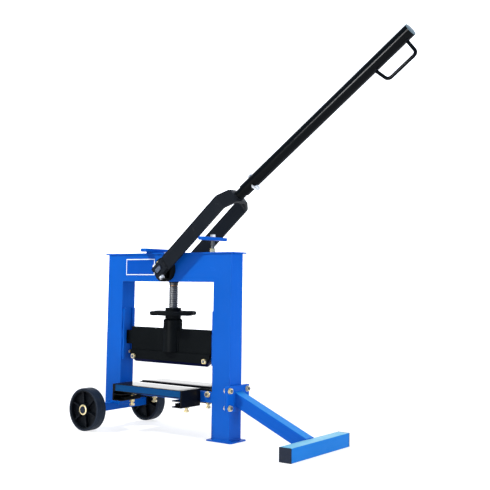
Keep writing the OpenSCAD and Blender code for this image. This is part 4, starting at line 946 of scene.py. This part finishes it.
# world: lights less than it shows, brighter low down than overhead
skySet = dict(colour=(0.26, 0.50, 1.0), low=0.68, high=0.34, fadeFrom=0.05, fadeTo=0.55, seen=1.0)
s = skySet
world = bpy.data.worlds.new("studio")
world.use_nodes = True
tree = world.node_tree
sky = tree.nodes["Background"].inputs
sky["Color"].default_value = (*s["colour"], 1.0)
rise = heightOf(tree, tree.nodes.new("ShaderNodeTexCoord").outputs["Generated"])
seen = tree.nodes.new("ShaderNodeMix")
seen.inputs["B"].default_value = s["seen"]
tree.links.new(tree.nodes.new("ShaderNodeLightPath").outputs["Is Camera Ray"], seen.inputs[0])
tree.links.new(remap(tree, rise, s["fadeFrom"], s["fadeTo"], s["low"], s["high"]), seen.inputs["A"])
tree.links.new(seen.outputs["Result"], sky["Strength"])
scene.world = world


def standing(x, y, z, at):
    return Matrix([[*row, p] for row, p in zip(np.array([x, y, z]).T, at)] + [[0, 0, 0, 1]])


def softBox(name, s):
    data = bpy.data.lights.new(name, "AREA")
    data.shape = "RECTANGLE"
    data.size, data.size_y = s["size"]
    data.energy = s["power"]
    data.color = s["colour"]
    lamp = bpy.data.objects.new(name, data)
    scene.collection.objects.link(lamp)
    at, aim = np.array(s["at"]), np.array(s["aim"])
    z = (at - aim) / np.linalg.norm(at - aim)
    x = np.cross(alongZ if abs(z[2]) < 0.99 else alongY, z)
    x /= np.linalg.norm(x)
    lamp.matrix_world = standing(x, np.cross(z, x), z, at)
    lamp.visible_glossy = s["glints"]
    return lamp


# a key from the upper left, soft light from above and the right, and two cards that only shine
lightSet = dict(
    keyLight=dict(size=(0.22, 0.22), power=121.0, colour=(1, 0.97, 0.85), at=(-1.4, -2.0, 2.74),
                  aim=(-0.2, 0, 0.4), glints=False),
    topLight=dict(size=(2.6, 2.0), power=50.0, colour=(1, 1, 1), at=(0.3, 0.2, 2.9), aim=(-0.1, 0, 0.3), glints=False),
    rightLight=dict(size=(1.6, 1.6), power=56.0, colour=(1, 0.995, 0.98), at=(2.7, -0.2, 0.7),
                    aim=(0.1, 0, 0.15), glints=False),
    frontCard=dict(size=(1.1, 0.8), power=190.0, colour=(1, 1, 1), at=(-0.6, -4.0, 0.6), aim=(0.3, 0, 0.8),
                   glints=True),
    backCard=dict(size=(3.2, 0.9), power=62.0, colour=(1, 1, 1), at=(-1.94, 2.44, 0.55), aim=(-0.2, 0, 0.132),
                  glints=True),
)
lamps = {name: softBox(name, s) for name, s in lightSet.items()}
lamps["frontCard"].visible_diffuse = False  # only gives the streak along the handle
sheen = lamps["backCard"]
sheen.visible_diffuse = sheen.visible_camera = False
sheen.light_linking.receiver_collection = tableTops  # the pale shine on the two tables
print("floor, sky and", len(lamps), "lights")

# camera fitted to the photo: yaw, pitch and roll in radians, focal length and centre in pixels of 490
camSet = dict(at=(1.42379, -1.77742, 0.41580), yaw=0.620, pitch=0.095, roll=0.009,
              focal=847.965, centre=(276.07, 201.25), side=490.0, sensor=36.0)
s = camSet
yaw, pitch, roll = s["yaw"], s["pitch"], s["roll"]
ahead = np.array([-math.sin(yaw) * math.cos(pitch), math.cos(yaw) * math.cos(pitch), math.sin(pitch)])
right = np.array([math.cos(yaw), math.sin(yaw), 0.0])
up = np.cross(right, ahead)
camRight = math.cos(roll) * right + math.sin(roll) * up
camUp = -math.sin(roll) * right + math.cos(roll) * up
cam = bpy.data.objects.new("camera", bpy.data.cameras.new("camera"))
scene.collection.objects.link(cam)
cam.data.sensor_width = s["sensor"]
cam.data.sensor_fit = "HORIZONTAL"
cam.data.lens = s["focal"] / s["side"] * s["sensor"]
cam.data.shift_x = 0.5 - s["centre"][0] / s["side"]
cam.data.shift_y = s["centre"][1] / s["side"] - 0.5
cam.data.dof.use_dof = False
cam.matrix_world = standing(camRight, camUp, -ahead, s["at"])
scene.camera = cam
scene.view_settings.view_transform = "Standard"

# white wall: stands across the camera's view, well behind the object, and glows evenly
wallSet = dict(wide=16.0, tall=8.0, away=7.0, glow=1.0, grain=0.6, rough=(0.80, 0.82))
s = wallSet
level = np.array([ahead[0], ahead[1], 0.0]) / math.hypot(ahead[0], ahead[1])
middle = np.array([camSet["at"][0], camSet["at"][1], 0.0]) + s["away"] * level
wallPts = [middle + a * s["wide"] / 2 * right + h * s["tall"] * alongZ for a, h in ((-1, 0), (1, 0), (1, 1), (-1, 1))]
wallMesh = bpy.data.meshes.new("wall")
wallMesh.from_pydata(np.array(wallPts).tolist(), [], [(0, 1, 2, 3)])
wallMat, tree, shader, coords = newMaterial("wallPaper")
tree.links.new(remap(tree, noise(tree, coords, s["grain"], 2.0), *mostNoise, *s["rough"]), shader.inputs["Roughness"])
shader.inputs["Emission Color"].default_value = (1, 1, 1, 1)
shader.inputs["Emission Strength"].default_value = s["glow"]
wallMesh.materials.append(wallMat)
wall = bpy.data.objects.new("wall", wallMesh)
scene.collection.objects.link(wall)
print("camera lens", round(cam.data.lens, 2))
